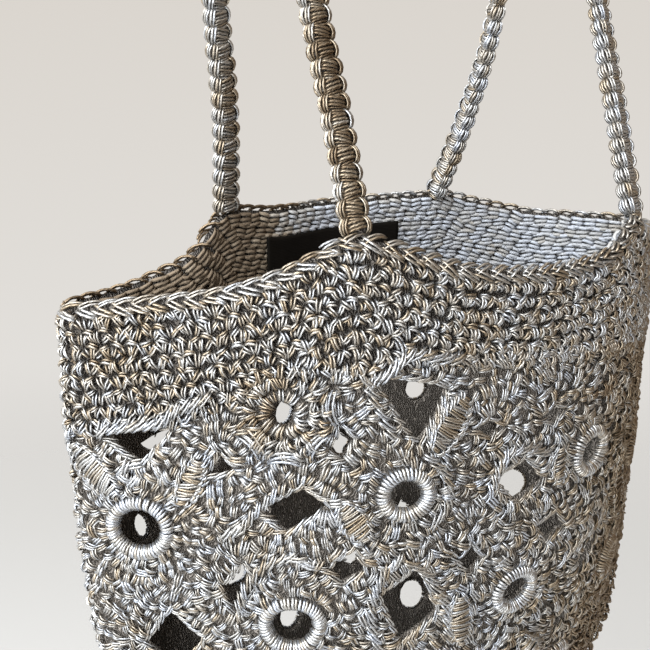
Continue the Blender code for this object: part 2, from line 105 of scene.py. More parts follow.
class Half:
    """The cloth over one side, measured along the rim from the left fold and down from it."""

    def __init__(self, first, last, outward):
        rows = [RIM[index % len(RIM)] for index in range(first - 1, last + 2)]
        self.line = through(rows)[::int(outward)]
        self.outward = outward
        steps = np.hypot(*np.diff(self.line[:, :2], axis=0).T)
        self.distance = np.concatenate([[0.0], np.cumsum(steps)])
        self.length = self.distance[-1]
        self.folds = None

    def rim(self, along):
        return [np.interp(along, self.distance, self.line[:, column]) for column in range(4)]

    def seam(self, along):
        share = np.clip(along / self.length, 0, 1)
        x = SEAM_LEFT + (SEAM_RIGHT - SEAM_LEFT) * share
        z = SEAM_TOP - SEAM_SAG * (1 - np.abs(2 * share - 1) ** SEAM_CORNER)
        return x, SEAM_MIDDLE_Y + SEAM_TURN * x, z

    def depth(self, along):
        """How far the seam lies below the rim."""
        return self.rim(along)[2] - self.seam(along)[2]

    def inner_face(self, along, down):
        x, y, z, _ = self.rim(along)
        seam_x, seam_y, seam_z = self.seam(along)
        lean = np.clip(down / (z - seam_z), 0, 1) ** DRAW_IN
        return np.stack([x + (seam_x - x) * lean, y + (seam_y - y) * lean, z - down], -1)

    def at(self, along, down, lift):
        """Places off the inner face, with the cloth's own run, fall and outward ways."""
        along, down = np.broadcast_arrays(np.asarray(along, float), np.asarray(down, float))
        run = unit(self.inner_face(along + RUN_REACH, down) - self.inner_face(along - RUN_REACH, down))
        fall = unit(self.inner_face(along, down + FALL_REACH) - self.inner_face(along, down - FALL_REACH))
        out = unit(np.cross(fall, run)) * self.outward
        if self.folds is not None:
            to_fold = np.minimum(along, self.length - along)
            near = np.clip(1 - to_fold / FOLD_REACH, 0, 1)[..., None] / 2
            out = unit(out * (1 - near) + np.where(along[..., None] < self.length / 2, *self.folds) * near)
        place = self.inner_face(along, down) + out * np.asarray(lift, float)[..., None]
        return place, run, fall, out


FRONT, BACK = Half(0, FRONT_SPANS, 1), Half(FRONT_SPANS, len(RIM), -1)
FRONT.folds = BACK.folds = [
    unit(FRONT.at(share * FRONT.length, 0, 0)[3] + BACK.at(share * BACK.length, 0, 0)[3])
    for share in (0, 1)]
HALVES = ((FRONT, "front"), (BACK, "back"))
print("front half %.0f mm along the rim, back half %.0f mm" % (FRONT.length, BACK.length))

# %% [markdown]
# ## The camera
# The photo looks a little down on the bag's left front. Its camera was fitted to the rim's
# four peaks and the left fold, so the same pixels fall on the same places of the bag.

# %% Camera
CAMERA_PLACE, CAMERA_TURN = (-0.1872, -0.2380, -0.1279), (77, 0, -33)      # metres, degrees
FOCAL_LENGTH, SENSOR_WIDTH = 55.385, 36.0


def add_camera():
    lens = bpy.data.cameras.new("view")
    lens.lens, lens.sensor_width = FOCAL_LENGTH, SENSOR_WIDTH
    camera = bpy.data.objects.new("view", lens)
    camera.location = CAMERA_PLACE
    camera.rotation_euler = tuple(math.radians(angle) for angle in CAMERA_TURN)
    bpy.context.scene.collection.objects.link(camera)
    bpy.context.scene.camera = camera
    return camera


print("camera at", tuple(round(value, 3) for value in add_camera().location))

# %% [markdown]
# ## Node trees from plain sums
# A material or a Geometry Nodes tree is quicker to write when a socket behaves as a
# number does. `Wire` wraps one socket, and each sign between two wires adds a Math node.
# `Board.add` makes any other node from its type, its settings and its sockets' values.

# %% Wires and boards
class Wire:
    """A node's output that Python's signs can work on."""

    def __init__(self, board, socket):
        self.board, self.socket = board, socket

    def sum(self, operation, first, second):
        return self.board.add("ShaderNodeMath", {"operation": operation}, {0: first, 1: second})

    def __add__(self, other):
        return self.sum("ADD", self, other)

    def __radd__(self, other):
        return self.sum("ADD", other, self)

    def __sub__(self, other):
        return self.sum("SUBTRACT", self, other)

    def __rsub__(self, other):
        return self.sum("SUBTRACT", other, self)

    def __mul__(self, other):
        return self.sum("MULTIPLY", self, other)

    def __rmul__(self, other):
        return self.sum("MULTIPLY", other, self)


class Board:
    """A node tree to put nodes on."""

    def __init__(self, tree):
        self.tree = tree

    def find(self, sockets, key):
        if isinstance(key, int):
            return sockets[key]
        same_identifier = [socket for socket in sockets if socket.identifier == key]
        same_name = [socket for socket in sockets if socket.name == key and socket.enabled]
        return (same_identifier or same_name)[0]

    def add(self, kind, settings=None, inputs=None, output=0):
        node = self.tree.nodes.new(kind)
        for name, value in (settings or {}).items():
            if name == "stops":
                while len(node.color_ramp.elements) < len(value):
                    node.color_ramp.elements.new(0.5)
                for element, (position, colour) in zip(node.color_ramp.elements, value):
                    element.position, element.color = position, (*colour, 1)
            else:
                setattr(node, name, value)
        for key, value in (inputs or {}).items():
            socket = self.find(node.inputs, key)
            if isinstance(value, Wire):
                self.tree.links.new(value.socket, socket)
            else:
                socket.default_value = value
        return Wire(self, self.find(node.outputs, output)) if node.outputs else node

    def mix(self, factor, first, second):
        """A colour between two others."""
        return self.add("ShaderNodeMix", {"data_type": "RGBA"},
                        {"Factor_Float": factor, "A_Color": first, "B_Color": second}, "Result_Color")

    def noise(self, where, scale, detail):
        return self.add("ShaderNodeTexNoise", None,
                        {"Vector": where, "Scale": scale, "Detail": detail}, "Fac")

    def along(self, way, other):
        """How far one direction points along another."""
        return self.add("ShaderNodeVectorMath", {"operation": "DOT_PRODUCT"}, {0: way, 1: other}, "Value")

    def smoothly(self, value, low, high, top=1.0):
        """From 0 to top in a soft step, while a value goes from low to high."""
        return self.add("ShaderNodeMapRange", {"interpolation_type": "SMOOTHSTEP"},
                        {"Value": value, "From Min": low, "From Max": high, "To Max": top}, "Result")


def new_surface(name):
    """A material, the board of its nodes, its shader, and the place of each point on the piece."""
    material = bpy.data.materials.new(name)
    material.use_nodes = True
    board = Board(material.node_tree)
    shader = material.node_tree.nodes["Principled BSDF"]
    return material, board, shader, board.add("ShaderNodeTexCoord", output="Object")


def feed(material, shader, wires, values):
    """Lay wires to some of a shader's inputs and set plain values on others."""
    for name, wire in wires.items():
        material.node_tree.links.new(wire.socket, shader.inputs[name])
    for name, value in values.items():
        shader.inputs[name].default_value = value


def in_scene(name, data):
    thing = bpy.data.objects.new(name, data)
    bpy.context.scene.collection.objects.link(thing)
    return thing


# %% [markdown]
# ## Metallic yarn
# The yarn is spun with metal foil, so it is mostly metal: it has hardly any colour of its
# own and shows the room, white where the window falls on it and brown or black in its
# gaps. Each stitch carries a number `tone` and each strand a number `strand`, stored in
# the mesh, and together they choose between cool silver, plain silver and a warm tan.
# Each strand is itself two plies twisted together. Its UV map `plies` runs round it and
# along it, so a slanting wave on that map gives the plies, and the groove between them is
# painted dark as shade. A fine noise stands for the creases of the foil. The openwork's
# yarn is painted browner towards the bag's right end, partly its own brown and partly
# painted shade for the side turned from the window. The yarn inside the heading is duller,
# and dimmed as painted shade.

# %% Yarn material
COOL, PLAIN, WARM, DEEP = (0.62, 0.655, 0.72), (0.56, 0.55, 0.53), (0.45, 0.37, 0.27), (0.25, 0.185, 0.12)
YARN_COLOURS = ((0.12, COOL), (0.46, PLAIN), (0.78, WARM), (1.0, DEEP))
# Painted shade at the bottom of the groove between two plies.
GROOVE_SHADE_COLOUR = (0.06, 0.055, 0.05)
PLIES, PLY_TWIST = 2, 0.45        # plies in a strand, and turns of them to a millimetre
# Where the painted groove shade is darkest and where it ends, as a ply's height.
GROOVE_SHADE_FLOOR, GROOVE_SHADE_EDGE = 0.05, 0.55    # a ply's height where its groove is deepest and ends
TONE_SHARE, STRAND_SHARE, PATCH_SHARE, SHADE_DROP = 0.42, 0.38, 0.5, 0.13
PATCH_SCALE, FOIL_SCALE = 90.0, 1700.0    # patches of about 11 mm, creases of about 0.6 mm
SMOOTHER, ROUGHER = 0.08, 0.12            # how far the foil's roughness strays from its middle
PLY_HEIGHT, FOIL_HEIGHT, RELIEF, RELIEF_STRENGTH = 0.6, 0.8, 0.00022, 0.55
# Painted shade, partly: the openwork is browner towards the bag's right end, which is turned from the window.
RIGHT_SHADE_END = 0.09                          # metres from the middle, where the yarn is brownest


def yarn_material(name, warmth=0.0, rough=0.41, metal=0.9, depth=0.42, full=1.0, right=0.0):
    """Depth is how pale the painted groove shade is, full the brightness, lowered as painted shade, right the
    brown painted towards the right end, partly as shade.
    """
    material, board, shader, where = new_surface(name)
    tone = board.add("ShaderNodeAttribute", {"attribute_name": "tone"}, output="Fac")
    strand = board.add("ShaderNodeAttribute", {"attribute_name": "strand"}, output="Fac")
    patches = board.noise(where, PATCH_SCALE, 2.0)
    foil = board.noise(where, FOIL_SCALE, 1.0)
    on_strand = board.add("ShaderNodeSeparateXYZ", None,
                          {"Vector": board.add("ShaderNodeUVMap", {"uv_map": "plies"})}, "X")
    along_strand = Wire(board, on_strand.socket.node.outputs["Y"])
    wave = board.add("ShaderNodeMath", {"operation": "SINE"},
                     {0: (on_strand * PLIES + along_strand * PLY_TWIST) * math.pi})
    ply = board.add("ShaderNodeMath", {"operation": "ABSOLUTE"}, {0: wave})
    # Painted shade: the yarn's colour darkens into the groove between plies.
    groove_shade = board.add("ShaderNodeMapRange", None,
                       {"Value": ply, "From Min": GROOVE_SHADE_FLOOR, "From Max": GROOVE_SHADE_EDGE,
                        "To Min": depth * full, "To Max": full}, "Result")
    across = board.add("ShaderNodeSeparateXYZ", None, {"Vector": where}, "X")
    # Painted shade, partly: browner towards the right end, turned from the window.
    turned = board.smoothly(across, 0.0, RIGHT_SHADE_END, right)
    shade = tone * TONE_SHARE + strand * STRAND_SHARE + patches * PATCH_SHARE + turned + (warmth - SHADE_DROP)
    colour = board.add("ShaderNodeValToRGB", {"stops": YARN_COLOURS}, {"Fac": shade}, "Color")
    # Mix in the painted groove shade.
    colour = board.mix(groove_shade, (*GROOVE_SHADE_COLOUR, 1), colour)
    roughness = board.add("ShaderNodeMapRange", None,
                          {"Value": foil, "To Min": rough - SMOOTHER, "To Max": rough + ROUGHER}, "Result")
    bump = board.add("ShaderNodeBump", None,
                     {"Height": ply * PLY_HEIGHT + foil * FOIL_HEIGHT, "Strength": RELIEF_STRENGTH,
                      "Distance": RELIEF}, "Normal")
    feed(material, shader, {"Base Color": colour, "Roughness": roughness, "Normal": bump},
         {"Metallic": metal})
    return material


BAND_YARN = yarn_material("heading_foil_yarn", warmth=0.05)
# right=0.55 paints the openwork browner towards the right end, partly as shade.
NET_YARN = yarn_material("openwork_foil_yarn", warmth=-0.03, right=0.55)
# The front strap's yarn is dimmed a little, as painted shade for its face turned from the window.
FRONT_HANDLE_SHADED_YARN = yarn_material("front_strap_foil_yarn", warmth=0.02, full=0.96)
BACK_HANDLE_YARN = yarn_material("back_strap_foil_yarn", warmth=0.04, rough=0.42, depth=0.8)
# The heading's inside: a dull, dimmed copy of the yarn; the dimming is painted shade, and its cool tint is
# partly painted cool light.
LINING_SHADED_YARN = yarn_material("inner_heading_yarn", warmth=-0.22, rough=0.8, metal=0.0, depth=0.9, full=0.77)
YARNS = (BAND_YARN, NET_YARN, FRONT_HANDLE_SHADED_YARN, BACK_HANDLE_YARN, LINING_SHADED_YARN)
print("yarns:", [yarn.name for yarn in YARNS])

# %% [markdown]
# ## The yarn between the strands, painted in shade
# Between two strands one looks into the cloth, where little light gets in. A copy of each
# solid, drawn in by a fraction of a millimetre, is that depth: it closes the view through
# the stitches and keeps the real gaps open. A wave bent by noise draws the deeper strands,
# dull, and their dark colour is painted shade.

# %% Ground material and ground pieces
DEEP_STRANDS, DEEP_BEND, DEEP_RELIEF = 420.0, 14.0, 0.0006
CLOTH_DRAWN_IN = {"band": 0.55, "net": 0.6, "handle_front": 0.9, "handle_back": 0.9}


def ground_material(name, deep, pale):
    material, board, shader, where = new_surface(name)
    strands = board.add("ShaderNodeTexWave", None,
                        {"Vector": where, "Scale": DEEP_STRANDS, "Distortion": DEEP_BEND,
                         "Detail": 2.0}, "Fac")
    colour = board.add("ShaderNodeValToRGB", {"stops": ((0.3, deep), (0.95, pale))},
                       {"Fac": strands}, "Color")
    bump = board.add("ShaderNodeBump", None,
                     {"Height": strands, "Strength": 1.0, "Distance": DEEP_RELIEF}, "Normal")
    feed(material, shader, {"Base Color": colour, "Normal": bump},
         {"Roughness": 0.9, "Specular IOR Level": 0.0})
    return material


# Dark colours of the cloth's depths between strands, painted shade.
BAND_SHADED_DEPTHS = ground_material("band_depths", (0.035, 0.031, 0.028), (0.20, 0.18, 0.16))
NET_SHADED_DEPTHS = ground_material("net_depths", (0.11, 0.098, 0.085), (0.34, 0.305, 0.27))


def triangles(things):
    return sum(len(face.vertices) - 2 for thing in things for face in thing.data.polygons)


def keep(thing):
    """Every piece rides on the part's one body; its triangles are printed."""
    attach(thing, "root")
    print("%-22s %7d triangles" % (thing.name, triangles([thing])))
    return thing


def drawn_in(node, name, material):
    """A copy of a solid, merged and drawn in along its normals."""
    source = frame["nodes"][node]
    bm = bmesh.new()
    bm.from_mesh(source.data)
    bmesh.ops.remove_doubles(bm, verts=bm.verts, dist=0.00001)
    bm.normal_update()
    for vertex, normal in [(vertex, vertex.normal.copy()) for vertex in bm.verts]:
        vertex.co -= normal * CLOTH_DRAWN_IN[node] * MM
    mesh = bpy.data.meshes.new(name)
    bm.to_mesh(mesh)
    bm.free()
    mesh.materials.append(material)
    mesh.shade_smooth()
    thing = in_scene(name, mesh)
    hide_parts(node)
    return keep(thing)


BAND_GROUND = drawn_in("band", "band_cloth", BAND_SHADED_DEPTHS)
NET_GROUND = drawn_in("net", "net_cloth", NET_SHADED_DEPTHS)
drawn_in("handle_front", "handle_front_core", BAND_SHADED_DEPTHS)
drawn_in("handle_back", "handle_back_core", NET_SHADED_DEPTHS)

# %% [markdown]
# ## Strands, the smallest thing in the bag
# A stitch shows as two or three strands side by side that come up out of the cloth, arch
# over it and dip in again. Each kind is a small mesh of a few dozen faces, in millimetres:
# the strands lie along Y, side by side along X, and arch along Z. A handful of uneven
# versions of each kind keeps the cloth from looking printed.

# %% Strand meshes
STRAND_THICK = 0.74
WAYWARD, STRETCHED, LIFTED, LEANING = 0.08, 0.14, 0.16, 0.3    # how far a strand strays


def strand(bm, layer, plies, path, thick, sides, shade):
    """A thin tube along a path, closed at both ends, with its map round it and along it."""
    side, rings, far = None, [], [0.0]
    for here, there in zip(path, path[1:]):
        far.append(far[-1] + (there - here).length / MM)
    for index, point in enumerate(path):
        way = (path[min(index + 1, len(path) - 1)] - path[max(index - 1, 0)]).normalized()
        side = way.orthogonal().normalized() if side is None else (side - way * side.dot(way)).normalized()
        other = way.cross(side)
        radius = thick * (0.3 if index in (0, len(path) - 1) else 0.5)
        ring = []
        for step in range(sides):
            angle = math.tau * step / sides
            vertex = bm.verts.new(point + (side * math.cos(angle) + other * math.sin(angle)) * radius)
            vertex[layer] = shade
            ring.append(vertex)
        rings.append(ring)
    for index, (here, there) in enumerate(zip(rings, rings[1:])):
        for step in range(sides):
            following = (step + 1) % sides
            face = bm.faces.new((here[step], here[following], there[following], there[step]))
            spots = ((step, index), (step + 1, index), (step + 1, index + 1), (step, index + 1))
            for loop, (turn, row) in zip(face.loops, spots):
                loop[plies].uv = (turn / sides, far[row])
    bm.faces.new(tuple(reversed(rings[0])))
    bm.faces.new(rings[-1])


def bundle(dice, count, long, rise, bow=0.0, fan=0.0, steps=5, sides=3, thick=STRAND_THICK, dip=0.5,
           loose=1.0, spread=1.02):
    """Strands side by side that arch over the cloth; bow bends them sideways, fan spreads them."""
    bm = bmesh.new()
    layer = bm.verts.layers.float.new("strand")
    plies = bm.loops.layers.uv.new("plies")
    for index in range(count):
        offset = (index - (count - 1) / 2) * thick * spread + dice.uniform(-WAYWARD, WAYWARD) * loose
        stretch = 1 + dice.uniform(-STRETCHED, STRETCHED) * loose
        lift = dice.uniform(-LIFTED, LIFTED) * loose
        lean = dice.uniform(-LEANING, LEANING) * loose
        path = []
        for step in range(steps + 1):
            t = step / steps
            arch = math.sin(math.pi * t) ** 0.75
            path.append(Vector((
                offset * (1 + fan * (t - 0.5)) + bow * arch + lean * (t - 0.5),
                (t - 0.5) * long * stretch,
                (rise + lift) * arch - dip * (1 - arch))) * MM)
        strand(bm, layer, plies, path, thick * MM, sides, dice.random())
    bmesh.ops.recalc_face_normals(bm, faces=bm.faces)
    return bm


def stitch_kit(name, versions, **shape):
    """A collection with a few uneven versions of one kind of stitch."""
    kit = bpy.data.collections.new(name)
    bpy.context.scene.collection.children.link(kit)
    dice = random.Random(name)
    for version in range(versions):
        bm = bundle(dice, **shape)
        mesh = bpy.data.meshes.new("%s_%d" % (name, version))
        bm.to_mesh(mesh)
        bm.free()
        mesh.shade_smooth()
        kit.objects.link(bpy.data.objects.new(mesh.name, mesh))
    return kit


KITS = {
    "post": stitch_kit("post", 8, count=3, long=4.8, rise=0.8, fan=0.35, dip=0.35, steps=4, thick=0.72,
                       loose=1.7),
    "pair": stitch_kit("pair", 8, count=2, long=4.1, rise=1.0, bow=0.4, fan=0.4, dip=0.35, thick=0.8,
                       loose=1.6),
    "cap": stitch_kit("cap", 5, count=2, long=4.2, rise=0.9, bow=0.5, dip=0.3, thick=0.8),
    "curl": stitch_kit("curl", 5, count=2, long=5.4, rise=0.9, bow=0.25, dip=0.3),
    "loaf": stitch_kit("loaf", 4, count=3, long=4.6, rise=0.8, dip=0.2, fan=-0.3, thick=1.2, steps=4,
                       loose=0.6),
    "light": stitch_kit("light", 8, count=2, long=4.8, rise=0.85, bow=0.3, fan=0.4, steps=4, thick=0.8,
                        loose=1.6),
    "link": stitch_kit("link", 6, count=2, long=7.4, rise=0.9, bow=0.5, steps=7, fan=-0.7, thick=0.98,
                       spread=1.2, loose=0.8),
    "arc": stitch_kit("arc", 5, count=2, long=9.0, rise=0.7, bow=-1.5, steps=7, fan=-0.6, spread=1.5),
    "wrap": stitch_kit("wrap", 4, count=1, long=4.7, rise=1.4, steps=6, sides=4, thick=1.0, dip=0.9,
                       loose=0.5),
    "loop": stitch_kit("loop", 5, count=2, long=5.4, rise=0.9, thick=0.84, dip=0.6, loose=0.6),
    "cord": stitch_kit("cord", 6, count=2, long=6.0, rise=0.7, dip=0.35, bow=0.3, fan=-0.5, spread=1.25),
    "face": stitch_kit("face", 5, count=3, long=6.6, rise=0.6, dip=0.4, loose=0.7),
}

# %% [markdown]
# ## Working the stitches
# Geometry Nodes put a stitch on each spot of a list. A spot is a vertex that carries the
# way its strands lie (`lay`), the way it faces (`out`), its `size` and its `tone`. The
# tree ends in Realize Instances, because the export drops instances, and Set Material.

# %% Spots and the stitch tree
class Spots:
    """Places for stitches, gathered in groups of any length."""

    def __init__(self):
        self.groups = []

    def add(self, place, lay, out, size=(1, 1, 1), tone=0.5):
        place = np.atleast_2d(place)
        count = len(place)
        self.groups.append([
            place, np.broadcast_to(lay, (count, 3)), np.broadcast_to(out, (count, 3)),
            np.broadcast_to(size, (count, 3)), np.broadcast_to(tone, (count,))])

    def columns(self):
        return [np.concatenate([group[column] for group in self.groups]) for column in range(5)]

    def mesh(self, name):
        place, lay, out, size, tone = self.columns()
        mesh = bpy.data.meshes.new(name)
        mesh.vertices.add(len(place))
        mesh.vertices.foreach_set("co", ((place - (0, 0, HANG_HEIGHT)) * MM).astype(np.float32).ravel())
        for key, values in (("lay", lay), ("out", out), ("size", size)):
            mesh.attributes.new(key, "FLOAT_VECTOR", "POINT").data.foreach_set(
                "vector", values.astype(np.float32).ravel())
        mesh.attributes.new("tone", "FLOAT", "POINT").data.foreach_set("value", tone.astype(np.float32))
        return mesh


MOST_VERSIONS = 12       # a kit with fewer versions starts again from its first


def stitch_tree():
    """The tree that works stitches on spots, and the identifiers of its inputs by name."""
    tree = bpy.data.node_groups.new("work_stitches", "GeometryNodeTree")
    sockets = {}
    for name, kind in (("Geometry", "Geometry"), ("Stitches", "Collection"), ("Turn", "Float"),
                       ("Unevenness", "Float"), ("Seed", "Int"), ("Yarn", "Material")):
        sockets[name] = tree.interface.new_socket(name, in_out="INPUT", socket_type="NodeSocket" + kind)
    tree.interface.new_socket("Geometry", in_out="OUTPUT", socket_type="NodeSocketGeometry")
    board = Board(tree)
    given = tree.nodes.new("NodeGroupInput")
    put = {name: Wire(board, given.outputs[name]) for name in sockets}
    vector = {"data_type": "FLOAT_VECTOR"}
    lay, out, size = (board.add("GeometryNodeInputNamedAttribute", vector, {"Name": name}, "Attribute")
                      for name in ("lay", "out", "size"))
    facing = board.add("FunctionNodeAxesToRotation", {"primary_axis": "Z", "secondary_axis": "Y"},
                       {"Primary Axis": out, "Secondary Axis": lay})
    turn = board.add("FunctionNodeRandomValue", {"data_type": "FLOAT"},
                     {"Min_001": put["Turn"] * -1.0, "Max_001": put["Turn"],
                      "Seed": put["Seed"]}, "Value_001")
    spin = board.add("FunctionNodeEulerToRotation", None,
                     {0: board.add("ShaderNodeCombineXYZ", None, {"Z": turn})})
    turned = board.add("FunctionNodeRotateRotation", {"rotation_space": "LOCAL"}, {0: facing, 1: spin})
    growth = board.add("FunctionNodeRandomValue", {"data_type": "FLOAT"},
                       {"Min_001": 1.0 - put["Unevenness"], "Max_001": 1.0 + put["Unevenness"],
                        "Seed": put["Seed"] + 7.0}, "Value_001")
    scale = board.add("ShaderNodeVectorMath", {"operation": "SCALE"}, {0: size, "Scale": growth})
    kit = board.add("GeometryNodeCollectionInfo", None,
                    {"Collection": put["Stitches"], "Separate Children": True, "Reset Children": True})
    version = board.add("FunctionNodeRandomValue", {"data_type": "INT"},
                        {"Min_002": 0, "Max_002": MOST_VERSIONS - 1, "Seed": put["Seed"]}, "Value_002")
    spread = board.add("GeometryNodeInstanceOnPoints", None,
                       {"Points": put["Geometry"], "Instance": kit, "Pick Instance": True,
                        "Instance Index": version, "Rotation": turned, "Scale": scale})
    real = board.add("GeometryNodeRealizeInstances", None, {"Geometry": spread})
    dressed = board.add("GeometryNodeSetMaterial", None, {"Geometry": real, "Material": put["Yarn"]})
    result = tree.nodes.new("NodeGroupOutput")
    tree.links.new(dressed.socket, result.inputs[0])
    return tree, {name: socket.identifier for name, socket in sockets.items()}


STITCH_TREE, TREE_INPUTS = stitch_tree()


def work(name, spots, kit, yarn, turn=0.15, unevenness=0.1, seed=1):
    """Work a list of spots in one kind of stitch, as one plain mesh."""
    helper = in_scene(name + "_spots", spots.mesh(name + "_spots"))
    nodes = helper.modifiers.new("stitches", "NODES")
    nodes.node_group = STITCH_TREE
    for key, value in (("Stitches", KITS[kit]), ("Turn", turn), ("Unevenness", unevenness),
                       ("Seed", seed), ("Yarn", yarn)):
        nodes[TREE_INPUTS[key]] = value
    graph = bpy.context.evaluated_depsgraph_get()
    mesh = bpy.data.meshes.new_from_object(helper.evaluated_get(graph), depsgraph=graph)
    bpy.data.objects.remove(helper, do_unlink=True)
    mesh.name = name
    return keep(in_scene(name, mesh))


print("stitch tree inputs:", TREE_INPUTS)

# %% [markdown]
# ## The heading: rows of single crochet
# Five to nine rows run round the mouth, as many as the heading's depth has room for there.
# A single crochet shows as short bundles of strands that lean one way or the other or
# stand upright, with a dark gap under each row. The real rows are tight but uneven, and no
# two gaps are alike.

# %% Rows on the heading's outside
ROW_PITCH, FIRST_ROW, MOST_ROWS = 4.2, 2.8, 9
BAND_FACE = 2.9          # how far the strands' middle stands off the inner face
SLANTS = (-36, -6, 30)   # degrees from upright, in turn along a row
CAP_SLANTS, SLANT_STRAY, JOINT_STRAY = (-60, -76, 64), 12, 26
POST_PITCH, CAP_PITCH, JOINT_PITCH = 1.7, 4.0, 2.3
STRAY = 0.3              # how far a stitch strays from its place in a row, in pitches
POST_MARGIN, CAP_MARGIN = 0.8, 0.5        # kept free above the heading's lower edge
JOINT_BELOW, JOINT_CLEAR = 1.2, 1.3       # a joint's foot lies below it, and clear of a gap
# Shift down from the heading's lower edge and slant of the two rows over the joint
JOINTS = ((-0.9, 24), (1.1, -18))


def strewn(half, pitch, dice):
    """Places along a row, one to a pitch, each a little off its own."""
    count = round(half.length / pitch)
    return (np.arange(count) + dice.uniform(-STRAY, STRAY, count)) * half.length / (count - 1)


def aslant(run, fall, degrees):
    """A way in the cloth, turned from straight up towards the run."""
    angle = np.radians(np.asarray(degrees, float))[..., None]
    return -fall * np.cos(angle) + run * np.sin(angle)


def heading_rows(half, dice):
    """Spots for the upright bundles, and for the flat ones that cap each stitch."""
    upright, caps = Spots(), Spots()
    for row in range(MOST_ROWS):
        along = strewn(half, POST_PITCH, dice)
        count = len(along)
        down = FIRST_ROW + (row + 0.5 + dice.uniform(-0.07, 0.07, count)) * ROW_PITCH
        slant = np.take(SLANTS, (np.arange(count) + row) % 3) + dice.normal(0, SLANT_STRAY, count)
        there = down < half.rim(along)[3] - POST_MARGIN
        along, down, slant = along[there], down[there], slant[there]
        count = len(along)
        place, run, fall, out = half.at(along, down, BAND_FACE + dice.uniform(-0.35, 0.35, count))
        long, high = dice.uniform(0.78, 1.02, count), dice.uniform(0.8, 1.25, count)
        size = np.stack([np.full(count, 1.0), long, high], -1)
        upright.add(place, aslant(run, fall, slant), unit(out + run * dice.normal(0, 0.18, count)[:, None]),
                    size, dice.random(count))
        along = strewn(half, CAP_PITCH, dice)
        down = FIRST_ROW + (row + 0.12) * ROW_PITCH + dice.uniform(-0.4, 0.4, len(along))
        there = down < half.rim(along)[3] - CAP_MARGIN
        along, down = along[there], down[there]
        count = len(along)
        place, run, fall, out = half.at(along, down, BAND_FACE + dice.uniform(-0.2, 0.3, count))
        slant = dice.choice(CAP_SLANTS, count) + dice.normal(0, SLANT_STRAY, count)
        caps.add(place, aslant(run, fall, slant), unit(out - fall * 0.3), (0.95, 0.85, 1), dice.random(count))
    return upright, caps


def joint_rows(half, dice):
    """Where the openwork is joined to the heading, stitches reach over both."""
    spots = Spots()
    for shift, slant in JOINTS:
        along = strewn(half, JOINT_PITCH, dice)
        count = len(along)
        down = half.rim(along)[3] + shift + dice.uniform(-0.5, 0.5, count)
        place, run, fall, out = half.at(along, down, BAND_FACE - 0.1 + dice.uniform(-0.2, 0.3, count))
        far, _, _, within = to_outlines(np.stack([along, down + JOINT_BELOW], -1), OUTLINES[half])
        solid = ~within & (far > JOINT_CLEAR) | (shift < 0)
        place, run, fall, out = place[solid], run[solid], fall[solid], out[solid]
        count = len(place)
        spots.add(place, aslant(run, fall, slant + dice.normal(0, JOINT_STRAY, count)), out,
                  (1.0, 0.95, 1.0), dice.random(count))
    return spots


for half, title in HALVES:
    upright, caps = heading_rows(half, np.random.default_rng(5 if half is FRONT else 6))
    work("band_%s_stitches" % title, upright, "pair", BAND_YARN, turn=0.2, seed=3)
    work("band_%s_caps" % title, caps, "cap", BAND_YARN, turn=0.1, seed=5)

# %% [markdown]
# ## The heading's inside
# From inside, the same rows show their backs: rounded bumps like small loaves, one to a
# stitch, closer together and calmer than the outside. Near the left fold they are painted a
# dull brown, as shade where the window's light does not reach them.

# %% Bumps inside the heading
LINING_ROWS, LOAF_PITCH, LOAF_OUT, LINING_TOP = 10, 4.4, 0.25, 1.5
LOAF_SIZE = (1.16, 1.1, 0.9)
# Painted shade for the corner near the left fold, which the window's light does not reach.
SHADED_FROM, SHADED_ALL, SHADED_TONE = 92, 60, 2.4     # the dull brown corner, from the left fold


def shaded(along):
    """Painted shade: what is added to a stitch's tone near the left fold."""
    return np.clip((SHADED_FROM - along) / (SHADED_FROM - SHADED_ALL), 0, 1) * SHADED_TONE


def lining_rows(half, dice):
    spots = Spots()
    for row in range(LINING_ROWS):
        count = round(half.length / LOAF_PITCH)
        along = (np.arange(count) + 0.5 * (row % 2) + dice.uniform(-0.1, 0.1, count)) * half.length / count
        pitch = (half.rim(along)[3] - LINING_TOP) / LINING_ROWS
        down = LINING_TOP + (row + 0.5) * pitch
        place, run, fall, out = half.at(along, down, LOAF_OUT)
        lean = 90 + dice.uniform(-16, 16, count)
        # shaded(along) adds painted shade near the left fold.
        spots.add(place, aslant(run, fall, lean), -out, LOAF_SIZE, dice.random(count) * 0.6 + shaded(along))
    return spots


for half, title in HALVES:
    work("lining_" + title, lining_rows(half, np.random.default_rng(8)), "loaf", LINING_SHADED_YARN,
         turn=0.1, unevenness=0.06, seed=5)

# %% [markdown]
# ## The chain along the rim
# The last row leaves a chain lying on the edge: one V link after another, each of long
# smooth strands, so it catches the most light. Two rows of slanted bundles, one on top
# and one on the outer face, make the braid. The back's is painted brown near the left
# fold, as shade.

# %% Rim chain
LINK_PITCH, LINK_SLANT = 5.0, 24
# Columns: lift, down, tilt towards the top, shift along, slant's sign
CHAIN_ROWS = ((3.0, 1.9, 0.3, 0.0, 1), (1.7, 0.1, 0.7, 0.8, -1))


def rim_chain(half, dice):
    spots = Spots()
    count = round(half.length / LINK_PITCH)
    along = (np.arange(count) + 0.5) * half.length / count
    # Painted shade on the back's chain near the left fold.
    brown_tone_and_shade = shaded(along) * (half is BACK)
    for lift, down, tilt, shift, sign in CHAIN_ROWS:
        moved = along + shift + dice.uniform(-0.2, 0.2, count)
        place, run, fall, out = half.at(moved, down, np.full(count, lift))
        facing = unit(out * (1 - tilt) - fall * tilt)
        aside = np.cross(run, facing) * half.outward
        slant = np.radians(LINK_SLANT + dice.uniform(-6, 6, count))[:, None] * sign
        spots.add(place, unit(run * np.cos(slant) + aside * np.sin(slant)), facing,
                  (1, 1, 1), dice.random(count) * 0.9 + brown_tone_and_shade)
    return spots


